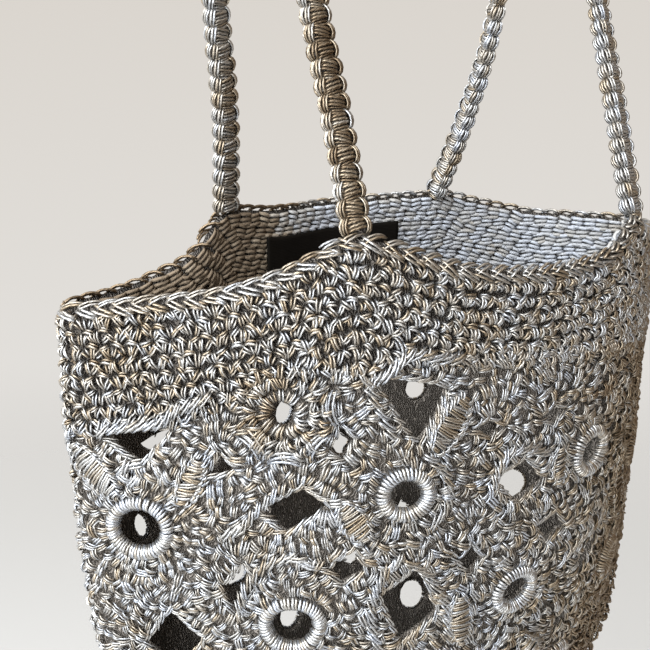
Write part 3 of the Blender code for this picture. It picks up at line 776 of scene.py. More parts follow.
for half, title in HALVES:
    work("rim_chain_" + title, rim_chain(half, np.random.default_rng(12)), "link", BAND_YARN,
         turn=0.06, unevenness=0.05, seed=6)

# %% [markdown]
# ## Rings, gaps and leaves, laid out flat
# The openwork is planned on the unrolled cloth, as a maker pins motifs on paper. Each row
# of the table is a gap: a wrapped ring's hole, or a space between motifs whose sides bow
# in. The back has the same motifs in its own places, so that both walls' gaps meet where
# the photo shows the background through them.

# %% The plan of the openwork
# Columns: along, down, wide, tall, corners (0 is a wrapped ring), turn
GAPS = (
    (61, 38, 7, 7, 0, 0), (19, 64.5, 13, 12, 0, 0), (63, 102.5, 12, 12, 0, 0),
    (93.5, 66.3, 9.5, 9, 0, 0), (158, 59.5, 10, 9, 0, 0), (132.5, 97, 9.5, 9, 0, 0),
    (205, 72, 10, 10, 0, 0), (192, 112, 9, 9, 0, 0), (28, 133, 10, 10, 0, 0), (95, 138, 11, 11, 0, 0),
    (163, 141, 10, 10, 0, 0), (104, 174, 10, 10, 0, 0), (20.5, 39.2, 20, 11, 3, 180),
    (43.5, 48, 6.5, 7, 3, 0), (76.2, 54, 5.5, 9, 4, 0), (63.5, 66.5, 18.5, 11.5, 4, 22),
    (47.5, 85.5, 9, 15, 4, 12), (26.5, 101, 18, 19, 4, 0), (94.8, 39.8, 21.5, 20.5, 3, 172),
    (117.5, 44, 9, 5, 4, 0), (129.5, 60.5, 18, 12, 4, 12), (140, 42.5, 8, 5.5, 4, 0),
    (144, 79, 12, 9, 4, 20), (168, 100, 13, 16, 4, 25), (78.5, 91, 9, 10, 4, 20),
    (97, 100.5, 17, 25, 4, 8), (160, 120.5, 8, 9, 4, 30), (186, 47, 12, 7, 4, 0),
    (222, 50, 11, 7, 3, 180), (186, 68, 8, 9, 3, 0), (222, 97, 10, 14, 4, 0), (207, 96, 7, 8, 4, 20),
    (115, 84, 7, 9, 4, 0), (48, 128, 8, 9, 3, 0), (64, 145, 12, 9, 4, 0), (122, 124, 11, 9, 4, 0),
    (130, 152, 12, 9, 4, 0), (196, 140, 10, 11, 4, 0), (78, 166, 10, 9, 3, 0), (144, 171, 11, 9, 4, 0),
    (168, 168, 9, 8, 3, 180), (52, 160, 9, 8, 4, 30),
)
# Columns: along, down, length, width, turn
LEAVES = ((105, 43, 19, 6.5, -62), (34.8, 51, 14, 6, -65), (80, 77, 13, 6.5, 60), (114, 104, 18, 7, 80),
          (143.6, 59, 12, 5, 85), (186, 88, 16, 7, 60), (41.5, 112, 14, 7, -60), (146, 124, 15, 7, 50))
BACK_GAPS = (
    (163.4, 45, 7, 7, 0, 0), (202.9, 66.9, 13, 12, 0, 0), (177, 105, 12, 12, 0, 0), (138, 71, 9.5, 9, 0, 0),
    (79.5, 68, 10, 9, 0, 0), (96.8, 99, 9.5, 9, 0, 0), (20.5, 74, 4.4, 9, 0, 0), (53, 116, 9, 9, 0, 0),
    (197.3, 136.8, 10, 10, 0, 0), (132, 147, 11, 11, 0, 0), (75.5, 138, 10, 10, 0, 0),
    (123.3, 176, 10, 10, 0, 0), (201.1, 44.2, 20, 11, 3, -180), (178.6, 50.3, 6.5, 7, 3, 0),
    (149.2, 56, 5.5, 9, 4, 0), (161.8, 67.8, 18.5, 11.5, 4, -22), (175.4, 84.4, 9, 15, 4, -12),
    (198.4, 102.8, 18, 19, 4, 0), (136.4, 46.8, 22.5, 21.5, 3, -172), (109.8, 46.9, 9, 5, 4, 0),
    (102.5, 63.5, 18, 12, 4, -12), (89.6, 43.4, 8, 5.5, 4, 0), (86.9, 82.7, 12, 9, 4, -20),
    (63.9, 101.7, 13, 16, 4, -25), (147.1, 94.1, 9, 10, 4, -20), (131, 121, 15, 19, 4, -8),
    (71.2, 122.5, 8, 9, 4, -30), (47, 49, 12, 7, 4, 0), (27, 50, 11, 7, 3, -180), (47, 70, 8, 9, 3, 0),
    (13.4, 99, 10, 14, 4, 0), (27.4, 98, 7, 8, 4, -20), (105, 86, 7, 9, 4, 0), (174.3, 131, 8, 9, 3, 0),
    (160.6, 147, 12, 9, 4, 0), (106.6, 126, 11, 9, 4, 0), (99.1, 154, 12, 9, 4, 0),
    (37.7, 142, 10, 11, 4, 0), (147.5, 168, 10, 9, 3, 0), (86.1, 173, 11, 9, 4, 0),
    (63.7, 170, 9, 8, 3, -180), (171.8, 162, 9, 8, 4, -30),
)
BACK_LEAVES = (
    (119.6, 46, 19, 6.5, 62), (188.4, 52.3, 14, 6, 65), (149.5, 80.5, 13, 6.5, -60),
    (113.8, 105.9, 18, 7, -80), (91, 55.5, 12, 5, -85), (47, 90, 16, 7, -60), (181.6, 125.1, 14, 7, 60),
    (87.3, 121.4, 15, 7, -50),
)
GAP_BOW = {3: 0.62, 4: 0.76}
FLAT_REACH = 1.0         # the cloth's ways are taken over this distance
OVAL_POINTS = 28         # points of a wrapped ring's edge


def turned_about(points, centre, degrees):
    angle = math.radians(degrees)
    turn = np.array([[math.cos(angle), math.sin(angle)], [-math.sin(angle), math.cos(angle)]])
    return points @ turn + centre


def round_points(half, along, down, reach_x, reach_y, angle):
    """Flat points of an oval that is true on the hanging cloth, which leans and draws in."""
    face, reach = half.inner_face, FLAT_REACH
    run = (face(along + reach, down) - face(along - reach, down)) / (2 * reach)
    fall = (face(along, down + reach) - face(along, down - reach)) / (2 * reach)
    skew = fall @ unit(run)
    deeper = reach_y * np.sin(angle) / np.linalg.norm(fall - unit(run) * skew)
    further = (reach_x * np.cos(angle) - deeper * skew) / np.linalg.norm(run)
    return np.stack([along + further, down + deeper], -1)


def gap_outline(half, along, down, wide, tall, corners, turn):
    """The edge of a gap, as a closed row of flat points."""
    if not corners:
        angle = np.arange(OVAL_POINTS) * math.tau / OVAL_POINTS
        return round_points(half, along, down, wide / 2, tall / 2, angle)
    step = np.arange(corners * 3)
    reach = np.where(step % 3, GAP_BOW[corners], 1.0)
    angle = math.tau * step / len(step)
    points = np.stack([wide / 2 * reach * np.sin(angle), -tall / 2 * reach * np.cos(angle)], -1)
    points = turned_about(points, (along, down), turn)
    return through(np.vstack([points[-1:], points, points[:2]]), 3)[:-1]


def to_outlines(points, outlines):
    """For flat points: the nearest outline, the distance from it, and the way out of it."""
    best = np.full(len(points), np.inf)
    which, way = np.zeros(len(points), int), np.zeros((len(points), 2))
    within = np.zeros(len(points), bool)
    for index, outline in enumerate(outlines):
        start, end = outline, np.roll(outline, -1, axis=0)
        side = end - start
        for a, b, s in zip(start, end, side):
            share = np.clip(((points - a) @ s) / max(s @ s, 1e-9), 0, 1)
            gap = points - (a + share[:, None] * s)
            far = np.hypot(*gap.T)
            near = far < best
            best[near], which[near], way[near] = far[near], index, gap[near]
        x, y = points.T
        crosses = ((start[:, 1] > y[:, None]) != (end[:, 1] > y[:, None])) & (
            x[:, None] < start[:, 0] + (y[:, None] - start[:, 1]) * side[:, 0]
            / np.where(np.abs(side[:, 1]) < 1e-9, 1e-9, side[:, 1]))
        within |= crosses.sum(1) % 2 == 1
    return best, which, unit(way), within


PLANS = {FRONT: GAPS, BACK: BACK_GAPS}
OUTLINES = {half: [gap_outline(half, *row) for row in PLANS[half]] for half in (FRONT, BACK)}
for half, title in HALVES:
    joints = joint_rows(half, np.random.default_rng(15))
    work("net_%s_joint" % title, joints, "pair", NET_YARN, seed=4)
print("gaps on each half:", len(GAPS), "of them wrapped rings:", sum(row[4] == 0 for row in GAPS))

# %% [markdown]
# ## Rounds of stitches between the gaps
# Freeform crochet grows outwards: round after round of stitches is worked about each gap
# until it meets its neighbours'. So each candidate spot is drawn to the nearest round of
# its nearest gap, and kept if no other spot is too close. Most stitches point at the gap,
# some lie along the round, as the tops of stitches do.

# %% Ground stitches
RING_WRAP, GAP_BORDER, ROUND_PITCH = 3.6, 1.5, 2.7
NET_FACE = 2.45
GRID_STEP, GRID_STRAY = 1.3, 0.6         # candidate spots, before they are drawn to a round
ALONG_SHARE, WAY_STRAY = 0.2, 0.3        # the share that lies along its round, stray radians
# Columns: half, name, top, bottom, space between stitches, kit
GROUND = ((FRONT, "front_upper", 24, 86, 2.15, "post"), (FRONT, "front_middle", 86, 130, 2.15, "post"),
          (FRONT, "front_lower", 130, 210, 2.6, "light"), (BACK, "back_upper", 30, 110, 2.5, "light"),
          (BACK, "back_lower", 110, 210, 2.6, "light"))


def thinned(points, space, dice):
    """The points that are left when none may lie closer than space to another."""
    order = dice.permutation(len(points))
    kept, cells = [], {}
    for index in order:
        x, y = points[index]
        key = (int(x // space), int(y // space))
        near = [other for dx in (-1, 0, 1) for dy in (-1, 0, 1)
                for other in cells.get((key[0] + dx, key[1] + dy), ())]
        if all((x - points[other][0]) ** 2 + (y - points[other][1]) ** 2 > space * space for other in near):
            cells.setdefault(key, []).append(index)
            kept.append(index)
    return np.array(kept)


def ground_spots(half, top, bottom, space, dice):
    """Flat places and ways of the ground stitches between two depths."""
    steps_x, steps_y = int(half.length / GRID_STEP), int((bottom - top) / GRID_STEP)
    grid = np.stack(np.meshgrid(np.linspace(0, half.length, steps_x), np.linspace(top, bottom, steps_y)), -1)
    points = grid.reshape(-1, 2) + dice.uniform(-GRID_STRAY, GRID_STRAY, (steps_x * steps_y, 2))
    far, which, way, within = to_outlines(points, OUTLINES[half])
    border = np.array([RING_WRAP if row[4] == 0 else GAP_BORDER for row in PLANS[half]])[which]
    rounds = np.maximum(np.round((far - border) / ROUND_PITCH - 0.35), 0)
    moved = points + way * ((rounds + 0.45) * ROUND_PITCH + border - far)[:, None]
    limit_top, limit_bottom = half.rim(moved[:, 0])[3] + 1.0, half.depth(moved[:, 0]) - 0.5
    x, y = moved.T
    fits = (~within & (y > np.maximum(limit_top, top)) & (y < np.minimum(limit_bottom, bottom))
            & (x > -0.5) & (x < half.length + 0.5))
    moved, way = moved[fits], way[fits]
    again, _, _, inside_again = to_outlines(moved, OUTLINES[half])
    clear = ~inside_again & (again > GAP_BORDER)
    moved, way = moved[clear], way[clear]
    kept = thinned(moved, space, dice)
    return moved[kept], way[kept]


def lay_ground(half, top, bottom, space, dice, spots):
    """Spots for the stitches between two depths."""
    moved, way = ground_spots(half, top, bottom, space, dice)
    count = len(moved)
    place, run, fall, out = half.at(moved[:, 0], moved[:, 1], NET_FACE + dice.uniform(-0.35, 0.5, count))
    angle = dice.normal(0, WAY_STRAY, count) + np.where(dice.random(count) < ALONG_SHARE, math.pi / 2, 0)
    u = way[:, 0] * np.cos(angle) - way[:, 1] * np.sin(angle)
    v = way[:, 0] * np.sin(angle) + way[:, 1] * np.cos(angle)
    lay = unit(run * u[:, None] + fall * v[:, None])
    tilt = unit(out + lay * dice.uniform(-0.25, 0.25, count)[:, None])
    size = dice.uniform(0.82, 1.18, (count, 1)) * np.array([[0.95, 0.86, 1.0]])
    spots.add(place, lay, tilt, size, dice.random(count))


for half, title, top, bottom, space, kit in GROUND:
    spots = Spots()
    lay_ground(half, top, bottom, space, np.random.default_rng(len(title) + 20), spots)
    work("net_" + title, spots, kit, NET_YARN, turn=0.2, unevenness=0.12, seed=9)

# %% [markdown]
# ## Wrapped rings
# A ring is a few turns of cord wrapped closely all round with yarn, so it stands proud of
# the cloth and shows even ribs that point at its middle. One strand arches over the cord
# for each rib.

# %% Ring wraps and gap borders
WRAP_PITCH, RING_CREST_OUT, RING_CREST_LIFT = 0.93, 1.75, 2.9
WRAP_STRAY, WRAP_SKEW, WRAP_TILT = 0.15, 0.10, 0.12
BORDER_PITCH, BORDER_OUT, BORDER_LIFT, BORDER_SLANT, BORDER_TILT = 2.5, 1.0, 2.1, 0.42, 0.35
ROSETTE = (61, 38)       # this ring is the eye of the rosette, which has no wraps


def ring_wraps(half, spots, dice):
    for along, down, wide, tall, corners, _ in PLANS[half]:
        if corners or (along, down) == ROSETTE:
            continue
        radius = (wide + tall) / 4 + RING_CREST_OUT
        count = round(math.tau * radius / WRAP_PITCH)
        angle = (np.arange(count) + dice.uniform(-WRAP_STRAY, WRAP_STRAY, count)) * math.tau / count
        reach_x, reach_y = wide / 2 + RING_CREST_OUT, tall / 2 + RING_CREST_OUT
        crest = round_points(half, along, down, reach_x, reach_y, angle)
        place, run, _, out = half.at(crest[:, 0], crest[:, 1], np.full(count, RING_CREST_LIFT))
        fall = np.cross(run, out)
        radial = unit(run * np.cos(angle)[:, None] + fall * (half.outward * np.sin(angle))[:, None])
        skew = unit(radial + np.cross(out, radial) * WRAP_SKEW)
        spots.add(place, skew, unit(out + radial * WRAP_TILT), (1, 0.94, 1), dice.random(count) * 0.8)


def gap_borders(half, spots, dice):
    for row, outline in zip(PLANS[half], OUTLINES[half]):
        if row[4] == 0:
            continue
        following = np.roll(outline, -1, axis=0)
        lengths = np.hypot(*(following - outline).T)
        total = lengths.sum()
        count = max(round(total / BORDER_PITCH), 4)
        goal = (np.arange(count) + 0.5) * total / count
        start = np.concatenate([[0], np.cumsum(lengths)[:-1]])
        index = np.searchsorted(start, goal, side="right") - 1
        share = ((goal - start[index]) / lengths[index])[:, None]
        way = unit(following[index] - outline[index])
        outward_flat = np.stack([way[:, 1], -way[:, 0]], -1)
        centre = np.array([row[0], row[1]])
        points = outline[index] + (following[index] - outline[index]) * share
        flip = np.sign(((points - centre) * outward_flat).sum(-1))[:, None]
        outward_flat *= flip
        points = points + outward_flat * BORDER_OUT
        place, run, fall, out = half.at(points[:, 0], points[:, 1], np.full(count, BORDER_LIFT))
        tangent = run * way[:, :1] + fall * way[:, 1:]
        side = run * outward_flat[:, :1] + fall * outward_flat[:, 1:]
        lay = unit(tangent + side * BORDER_SLANT)
        facing = unit(out - side * BORDER_TILT)
        spots.add(place, lay, facing, (0.85, 1.0, 0.9), dice.random(count) * 0.8)


for half, title in HALVES:
    dice = np.random.default_rng(31)
    wraps, borders = Spots(), Spots()
    ring_wraps(half, wraps, dice)
    gap_borders(half, borders, dice)
    work("ring_wraps_" + title, wraps, "wrap", NET_YARN, turn=0.05, unevenness=0.05, seed=2)
    work("gap_borders_" + title, borders, "curl", NET_YARN, turn=0.2, unevenness=0.1, seed=7)

# %% [markdown]
# ## The rosette and the cords
# Near the left strap a rosette lies over the join of heading and openwork: a round of
# ribs about its eye, two rounds of fans that make eight petals, and long bowed strands
# along the edges of the four petals at its right and below it.
# Twisted cords edge some gaps, where the maker worked slip stitches to tie motifs
# together. They are lines on the plan with slanted bundles set along them.

# %% Rosette and cords
PETALS = 8
# Columns: radius, stitches, turn away from the middle of the petal for each, lift
ROSETTE_ROUNDS = ((5.2, 18, 0.0, 3.0), (8.8, 32, 1.4, 3.5), (11.6, 24, 1.0, 3.7))
PETAL_EDGE, PETAL_LIFT, OVER_HEADING = 12.9, 3.6, 0.9
EDGED = (0, 1, 2, 3)      # petals whose edge strands show, from the one on the right
# Along and down of each cord's bends
CORDS = (((9, 35), (14, 34.2), (20, 34), (27, 33.5), (33, 30), (41, 28)),
         ((82, 38.5), (85, 35.5), (88, 32.5), (91, 28.5), (94, 26.5), (98.5, 25.5), (103, 25), (107, 24.5)),
         ((43, 68), (49, 66.5), (53, 63), (59, 59)),
         ((47, 93), (49, 86.5), (53, 81.5), (58, 79.5), (64, 80.5), (69, 86)),
         ((93, 85.5), (88.5, 92), (86, 100), (86, 108), (89, 117)),
         ((95, 85.5), (102, 89), (108, 97), (110, 104), (112, 112)),
         ((82, 36), (85, 43), (90, 51.5)),
         ((99, 53), (104, 56.5), (106, 62), (105, 68), (101, 73.5)),
         ((17.5, 45.5), (15.3, 47.5), (17, 50.2), (20, 49), (19.6, 46.4), (17.5, 45.5)),
         ((118, 64), (123, 52.5), (131, 50.5), (138, 54)),
         ((150, 94), (157, 90), (164, 89.5), (171, 92)))
CORD_PITCH, CORD_SLANT, CORD_LIFT, CORD_AHEAD = 2.7, 26, 3.2, 0.4
RIB_STRAY, RADIUS_STRAY, RIB_TILT, RIB_TONE = 0.35, 0.7, 0.15, 0.4
EDGE_GROWS = (-0.5, 0.9)  # two strands edge a petal, one inside PETAL_EDGE and one outside
JOIN_REACH = 2.0         # this far below the heading a motif still lies over its edge


def over_join(half, flat):
    """How much higher a motif lies where it is over the heading, which is thicker."""
    return np.where(flat[:, 1] < half.rim(flat[:, 0])[3] + JOIN_REACH, OVER_HEADING, 0)


def rosette_spots(half, ribs, edges, dice):
    along, down = ROSETTE
    for radius, count, fan, lift in ROSETTE_ROUNDS:
        angle = (np.arange(count) + 0.5 + dice.uniform(-RIB_STRAY, RIB_STRAY, count)) * math.tau / count
        uneven = radius + dice.uniform(-RADIUS_STRAY, RADIUS_STRAY, count)
        flat = round_points(half, along, down, uneven, radius, angle)
        place, run, _, out = half.at(flat[:, 0], flat[:, 1], np.full(count, lift))
        fall = np.cross(run, out) * half.outward
        petal = (angle * PETALS / math.tau) % 1 - 0.5
        lay_angle = angle + petal * fan
        lay = unit(run * np.cos(lay_angle)[:, None] + fall * np.sin(lay_angle)[:, None])
        ribs.add(place, lay, unit(out - lay * RIB_TILT), (1.0, 1.02, 1.0), dice.random(count) + RIB_TONE)
    angle = (np.array(EDGED) + 0.5) * math.tau / PETALS
    for grow in EDGE_GROWS:
        flat = round_points(half, along, down, PETAL_EDGE + grow, PETAL_EDGE + grow, angle)
        place, run, _, out = half.at(flat[:, 0], flat[:, 1], PETAL_LIFT + over_join(half, flat))
        fall = np.cross(run, out) * half.outward
        radial = run * np.cos(angle)[:, None] + fall * np.sin(angle)[:, None]
        edges.add(place, unit(np.cross(out, radial)), out, (1, 1, 1), dice.random(len(EDGED)) * 0.5)


def cord_spots(half, cords, dice):
    for bends in CORDS:
        line = through((bends[0], *bends, bends[-1]))
        far = np.concatenate([[0], np.cumsum(np.hypot(*np.diff(line, axis=0).T))])
        count = round(far[-1] / CORD_PITCH)
        goal = (np.arange(count) + 0.5) * far[-1] / count
        spot, ahead = (np.stack([np.interp(goal + shift, far, line[:, column]) for column in (0, 1)], -1)
                       for shift in (0, CORD_AHEAD))
        way = unit(ahead - spot)
        place, run, fall, out = half.at(spot[:, 0], spot[:, 1], CORD_LIFT + over_join(half, spot))
        tangent = unit(run * way[:, :1] + fall * way[:, 1:])
        slant = math.radians(CORD_SLANT)
        lay = tangent * math.cos(slant) + np.cross(out, tangent) * math.sin(slant)
        cords.add(place, lay, out, (1, 1, 1), dice.random(count) * 0.8)


dice = np.random.default_rng(61)
rosette_ribs, petal_edges, cords = Spots(), Spots(), Spots()
rosette_spots(FRONT, rosette_ribs, petal_edges, dice)
cord_spots(FRONT, cords, dice)
work("rosette_ribs", rosette_ribs, "pair", NET_YARN, turn=0.3, seed=4)
work("rosette_edges", petal_edges, "arc", NET_YARN, turn=0.12, unevenness=0.1, seed=4)
work("net_cords", cords, "cord", NET_YARN, turn=0.06, unevenness=0.06, seed=4)

# %% [markdown]
# ## Leaves
# A leaf is worked back and forth over a stalk, so short ribs cross its middle and loops
# stand along both edges. It lies on the cloth and stands a little proud of it.

# %% Leaf stitches
TONGUE = (7.5, 46.5, 19, 6.5, 55)      # a leaf of long ribs beside the left fold
TONGUE_TONE, LEAF_TONE, LEAF_PITCH, RIB_LONG = 0.15, 0.5, 1.7, 3.7
LEAF_LIFT, LOOP_LIFT, LOOP_TURN, SPINE_LEAN = 3.5, 3.0, 0.5, 0.2


def leaf_spots(half, ribs, loops, dice):
    for row in (*LEAVES, TONGUE) if half is FRONT else BACK_LEAVES:
        along, down, long, wide, turn = row
        brown_tone_and_shade = TONGUE_TONE if row is TONGUE else LEAF_TONE
        count = round(long / LEAF_PITCH)
        run_in_leaf = (np.arange(count) + 0.5) / count * 2 - 1
        half_wide = wide / 2 * np.sqrt(np.maximum(1 - run_in_leaf ** 2, 0.05))
        middle = turned_about(np.stack([run_in_leaf * long / 2, 0 * run_in_leaf], -1), (along, down), turn)
        ways = turned_about(np.array([[1.0, 0.0], [0.0, 1.0]]), (0, 0), turn)
        place, run, fall, out = half.at(middle[:, 0], middle[:, 1], np.full(count, LEAF_LIFT))
        spine = run * ways[0, 0] + fall * ways[0, 1]
        cross = run * ways[1, 0] + fall * ways[1, 1]
        size = np.stack([np.full(count, 0.9), half_wide * 2 / RIB_LONG, np.full(count, 1.0)], -1)
        ribs.add(place, unit(cross + spine * SPINE_LEAN), out, size, brown_tone_and_shade + 0.6 * dice.random(count))
        for side in (-1, 1):
            edge = middle + side * ways[1] * half_wide[:, None]
            place, run, fall, out = half.at(edge[:, 0], edge[:, 1], np.full(count, LOOP_LIFT))
            aside = cross * side * LOOP_TURN
            loops.add(place, unit(spine + aside), unit(out + aside),
                      (0.9, 0.85, 1.0), dice.random(count) * 0.6)


for half, title in HALVES:
    ribs, loops = Spots(), Spots()
    leaf_spots(half, ribs, loops, np.random.default_rng(41))
    work("leaf_ribs_" + title, ribs, "light", NET_YARN, turn=0.22, seed=8)
    work("leaf_loops_" + title, loops, "pair", NET_YARN, turn=0.2, seed=8)

# %% [markdown]
# ## The straps
# Each strap is a flat cord of knots. Seen from its flat side, a stack of near-level
# bundles fills the middle, and scalloped loops stand along both edges, one to a knot. The
# left leg of the front strap is painted browner than the rest, as shade on its face, which
# is turned from the window.

# %% Strap routes
# Columns: x, y, height, and the wide side's angle from the x axis
FRONT_STRAP = ((-44.5, -33, 0, -24), (-43.7, -22, 30, -11), (-45, -13, 60, -9), (-44.5, -8, 95, -38),
               (-38, -6, 134, -74), (-20, -5.4, 158, -90), (3, -5.2, 165, -90), (26, -5.4, 158, -90),
               (44, -6, 134, -100), (55, -8, 95, -130), (55.5, -17, 60, -155), (53.3, -28, 30, -162),
               (51.5, -38.2, 0, -163))
BACK_STRAP = ((-48, 31.2, 0, 7), (-51, 24.5, 30, 12), (-56.5, 18, 60, 18), (-59, 11, 95, 40),
              (-48, 6.5, 134, 74), (-29, 5.4, 158, 90), (-5, 5.2, 165, 90), (20, 5.4, 158, 90),
              (35, 6.5, 134, 84), (40, 8, 95, 70), (41, 13, 60, 64), (41.8, 25.5, 30, 78),
              (41, 41.2, 0, 100))
KNOT_PITCH, WAY_REACH = 4.6, 1.5
# Columns: place off the middle across the strap, place off it through the strap, turn
EDGE_LOOPS = ((3.1, 0.0, 0.0), (2.6, 1.3, 0.6), (2.6, -1.3, -0.6))
FACE_LIFT, LOW_FACE_LIFT, LOOP_LEAN, FACE_SLANTS = 1.7, 1.45, 0.16, (0.28, -0.12)


def strap_frames(table):
    """Middle, length way, wide way and thick way of every knot."""
    line = through((table[0], *table, table[-1]))
    far = np.concatenate([[0], np.cumsum(np.linalg.norm(np.diff(line[:, :3], axis=0), axis=1))])
    knots = round(far[-1] / KNOT_PITCH)
    goal = (np.arange(knots) + 0.5) * far[-1] / knots
    middle, ahead, behind = (
        np.stack([np.interp(goal + shift, far, line[:, column]) for column in range(3)], -1)
        for shift in (0, WAY_REACH, -WAY_REACH))
    bearing = np.radians(np.interp(goal, far, line[:, 3]))
    way = unit(ahead - behind)
    wide = np.stack([np.cos(bearing), np.sin(bearing), 0 * bearing], -1)
    wide = unit(wide - way * (wide * way).sum(-1, keepdims=True))
    return middle, way, wide, np.cross(way, wide)


def strap_spots(table, loops, faces, brown_tone_and_shade, dice):
    """Spots for a strap's edge loops and its faces, whose left leg may be painted browner as shade."""
    middle, way, wide, thick = strap_frames(table)
    count = len(middle)
    # Painted shade: the strap's left leg gets a brown tone.
    brown_tone_and_shade = np.where(middle[:, 0] < 0, brown_tone_and_shade, 0)
    for side in (-1, 1):
        for across, through_it, turn in EDGE_LOOPS:
            place = middle + wide * side * across + thick * through_it
            facing = unit(wide * side * math.cos(turn) + thick * math.sin(turn) * 1.3)
            lean = unit(way + np.cross(facing, way) * LOOP_LEAN * side)
            loops.add(place, lean, facing, (1, 0.98, 1), dice.random(count) * 0.7 + brown_tone_and_shade / 2)
        slant = np.where(np.arange(count) % 2, *FACE_SLANTS)[:, None] * side
        faces.add(middle + thick * side * FACE_LIFT, unit(wide + way * slant), thick * side,
                  (1.3, 0.85, 1), 0.2 + 0.6 * dice.random(count) + brown_tone_and_shade)
        between = middle + thick * side * LOW_FACE_LIFT + way * KNOT_PITCH / 2
        faces.add(between, unit(wide - way * slant), thick * side,
                  (1.1, 0.78, 1), 0.2 + 0.6 * dice.random(count) + brown_tone_and_shade)


# The last number is the painted shade on each strap's left leg.
for table, title, yarn, brown_tone_and_shade in ((FRONT_STRAP, "front", FRONT_HANDLE_SHADED_YARN, 0.9),
                                  (BACK_STRAP, "back", BACK_HANDLE_YARN, 0.1)):
    loops, faces = Spots(), Spots()
    strap_spots(table, loops, faces, brown_tone_and_shade, np.random.default_rng(51))
    work("strap_loops_" + title, loops, "loop", yarn, turn=0.06, unevenness=0.04, seed=2)
    work("strap_faces_" + title, faces, "face", yarn, turn=0.08, unevenness=0.05, seed=3)

# %% [markdown]
# ## The label
# A folded piece of black satin is sewn inside the back of the heading. It is left bare.
# Its weave is a fine ripple along the width, and its colour is nearly black.

# %% Label
SATIN, SATIN_DUST = (0.003, 0.0025, 0.002, 1), (0.012, 0.01, 0.008, 1)
LABEL_ENDS, LABEL_TOP, LABEL_TALL, LABEL_OUT, LABEL_THICK = (-33.0, 24.0), 8.5, 23.5, -1.5, 0.5
LABEL_SWELL, LABEL_RIPPLE = 0.45, 0.12


def satin_material():
    material, board, shader, where = new_surface("label_satin")
    weave = board.add("ShaderNodeTexWave", {"bands_direction": "Z"},
                      {"Vector": where, "Scale": 620.0, "Distortion": 1.5, "Detail": 2.0}, "Fac")
    dust = board.noise(where, 140.0, 3.0)
    colour = board.mix(weave * 0.5 + dust * 0.5, SATIN, SATIN_DUST)
    bump = board.add("ShaderNodeBump", None, {"Height": weave, "Strength": 0.4, "Distance": 0.0001}, "Normal")
    feed(material, shader, {"Base Color": colour, "Normal": bump},
         {"Roughness": 0.6, "Specular IOR Level": 0.05})
    return material


def add_label():
    """A patch that follows the heading's inner face, bulging a little between its corners."""
    along = np.interp(LABEL_ENDS, BACK.line[:, 0], BACK.distance)
    columns, rows = 44, 20
    bm = bmesh.new()
    grid = []
    for column in range(columns + 1):
        u = column / columns
        line = []
        for row in range(rows + 1):
            v = row / rows
            swell = (LABEL_SWELL * math.sin(math.pi * u) * math.sin(math.pi * v)
                     + LABEL_RIPPLE * math.sin(9 * u + 4 * v))
            place, _, _, _ = BACK.at(along[0] + (along[1] - along[0]) * u, LABEL_TOP + LABEL_TALL * v,
                                     LABEL_OUT - swell)
            line.append(bm.verts.new(Vector(place - (0, 0, HANG_HEIGHT)) * MM))
        grid.append(line)
    for left, right in zip(grid, grid[1:]):
        for row in range(rows):
            bm.faces.new((left[row], left[row + 1], right[row + 1], right[row]))
    bmesh.ops.recalc_face_normals(bm, faces=bm.faces)
    mesh = bpy.data.meshes.new("label_patch")
    bm.to_mesh(mesh)
    bm.free()
    mesh.materials.append(satin_material())
    mesh.shade_smooth()
    thing = in_scene("label_patch", mesh)
    wall = thing.modifiers.new("cloth", "SOLIDIFY")
    wall.thickness, wall.offset = LABEL_THICK * MM, 0.0
    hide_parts("label")
    return keep(thing)


LABEL = add_label()

# %% [markdown]
# ## Floor, room and lights
# The bag hangs in a pale, warm room with a window to its left. The metal yarn shows that
# room: a broad cool light from the upper left gives the white glints, the room's warm
# grey the rest. On the right, out of the picture, the room is brown, so the bag's right
# side is browner. The floor is a wide pale disc that fades out before its edge.

# %% Stage and lights
FAR_WALL = (0.545, 0.839, 0.0)        # the way the camera looks, towards the pale wall
RIGHT = (0.839, -0.545, 0.0)           # the camera's right
NEAR_ROOM = (0.42, 0.385, 0.345)       # the dim warm room behind the camera
RIGHT_ROOM = (0.25, 0.18, 0.12)        # the brown room on the right, out of the picture
LOW_WALL, HIGH_WALL = (0.80, 0.79, 0.77), (0.68, 0.635, 0.58)
FLOOR_COLOUR, FLOOR_RADIUS, FLOOR_LEVEL = (0.59, 0.59, 0.58, 1), 2.4, -0.62
FADE_FROM, FADE_TO = 0.5, 1.8          # metres from the middle, where the floor fades out
LIT_POINT = (0, 0, -0.2)               # the lights face this point


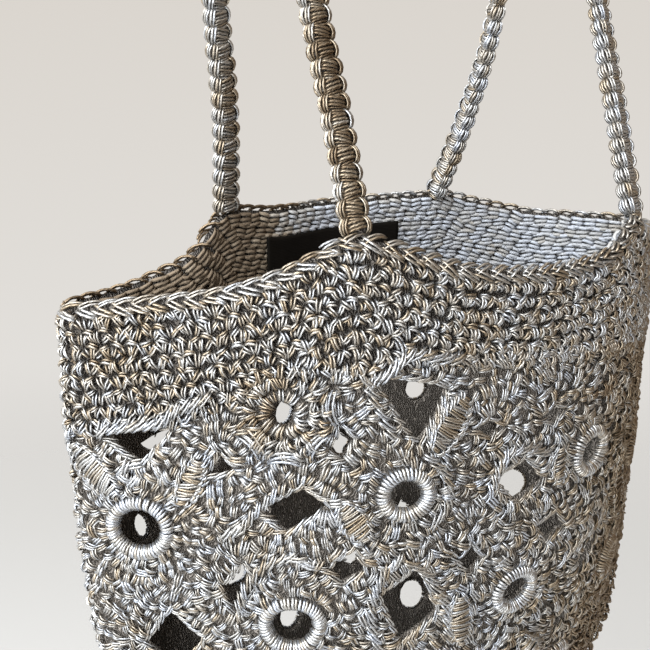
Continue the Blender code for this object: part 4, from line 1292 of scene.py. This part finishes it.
def floor_material():
    material, board, shader, where = new_surface("pale_floor")
    feed(material, shader, {}, {"Base Color": FLOOR_COLOUR, "Roughness": 0.9})
    far = board.add("ShaderNodeVectorMath", {"operation": "LENGTH"}, {0: where}, "Value")
    fade = board.smoothly(far, FADE_FROM, FADE_TO)
    clear = board.add("ShaderNodeBsdfTransparent")
    both = board.add("ShaderNodeMixShader", None,
                     {0: fade, 1: Wire(board, shader.outputs[0]), 2: clear})
    material.node_tree.links.new(both.socket, material.node_tree.nodes["Material Output"].inputs["Surface"])
    return material


def add_floor():
    bpy.ops.mesh.primitive_circle_add(vertices=96, radius=FLOOR_RADIUS, fill_type="NGON", location=(0, 0, 0))
    floor = bpy.context.object
    floor.name = "floor"
    for vertex in floor.data.vertices:
        vertex.co.z = FLOOR_LEVEL
    floor.data.materials.append(floor_material())


def add_light(name, place, size, power, colour):
    lamp = bpy.data.lights.new(name, "AREA")
    lamp.size, lamp.energy, lamp.color = size, power, colour
    light = in_scene(name, lamp)
    light.location = place
    light.rotation_euler = (Vector(LIT_POINT) - Vector(place)).to_track_quat("-Z", "Y").to_euler()


def paint_room():
    world = bpy.data.worlds.new("room")
    bpy.context.scene.world = world
    world.use_nodes = True
    board = Board(world.node_tree)
    way = board.add("ShaderNodeTexCoord", output="Generated")
    level = board.add("ShaderNodeSeparateXYZ", None, {"Vector": way}, "Z")
    wall = board.add("ShaderNodeMapRange", None,
                     {"Value": level, "From Min": -0.5, "From Max": 0.25}, "Result")
    seen = board.add("ShaderNodeValToRGB", {"stops": ((0.0, LOW_WALL), (1.0, HIGH_WALL))},
                     {"Fac": wall}, "Color")
    ahead = board.smoothly(board.along(way, FAR_WALL), -0.35, 0.55)
    colour = board.mix(ahead, (*NEAR_ROOM, 1), seen)
    aside = board.smoothly(board.along(way, RIGHT), 0.33, 0.65)
    colour = board.mix(aside, colour, (*RIGHT_ROOM, 1))
    back = world.node_tree.nodes["Background"]
    world.node_tree.links.new(colour.socket, back.inputs["Color"])
    back.inputs["Strength"].default_value = 1.0


paint_room()
add_floor()
add_light("window", (-1.02, -0.28, 0.34), 1.7, 54, (0.91, 0.955, 1.0))
add_light("sky", (-0.3, -0.3, 1.2), 1.2, 12, (0.94, 0.97, 1.0))
bpy.context.scene.view_settings.view_transform = "Standard"

# %% [markdown]
# ## The end
# The stitch kits are taken away: only worked stitches stay.

# %% Finish
for kit in KITS.values():
    for sample in list(kit.objects):
        bpy.data.objects.remove(sample, do_unlink=True)
    bpy.data.collections.remove(kit)
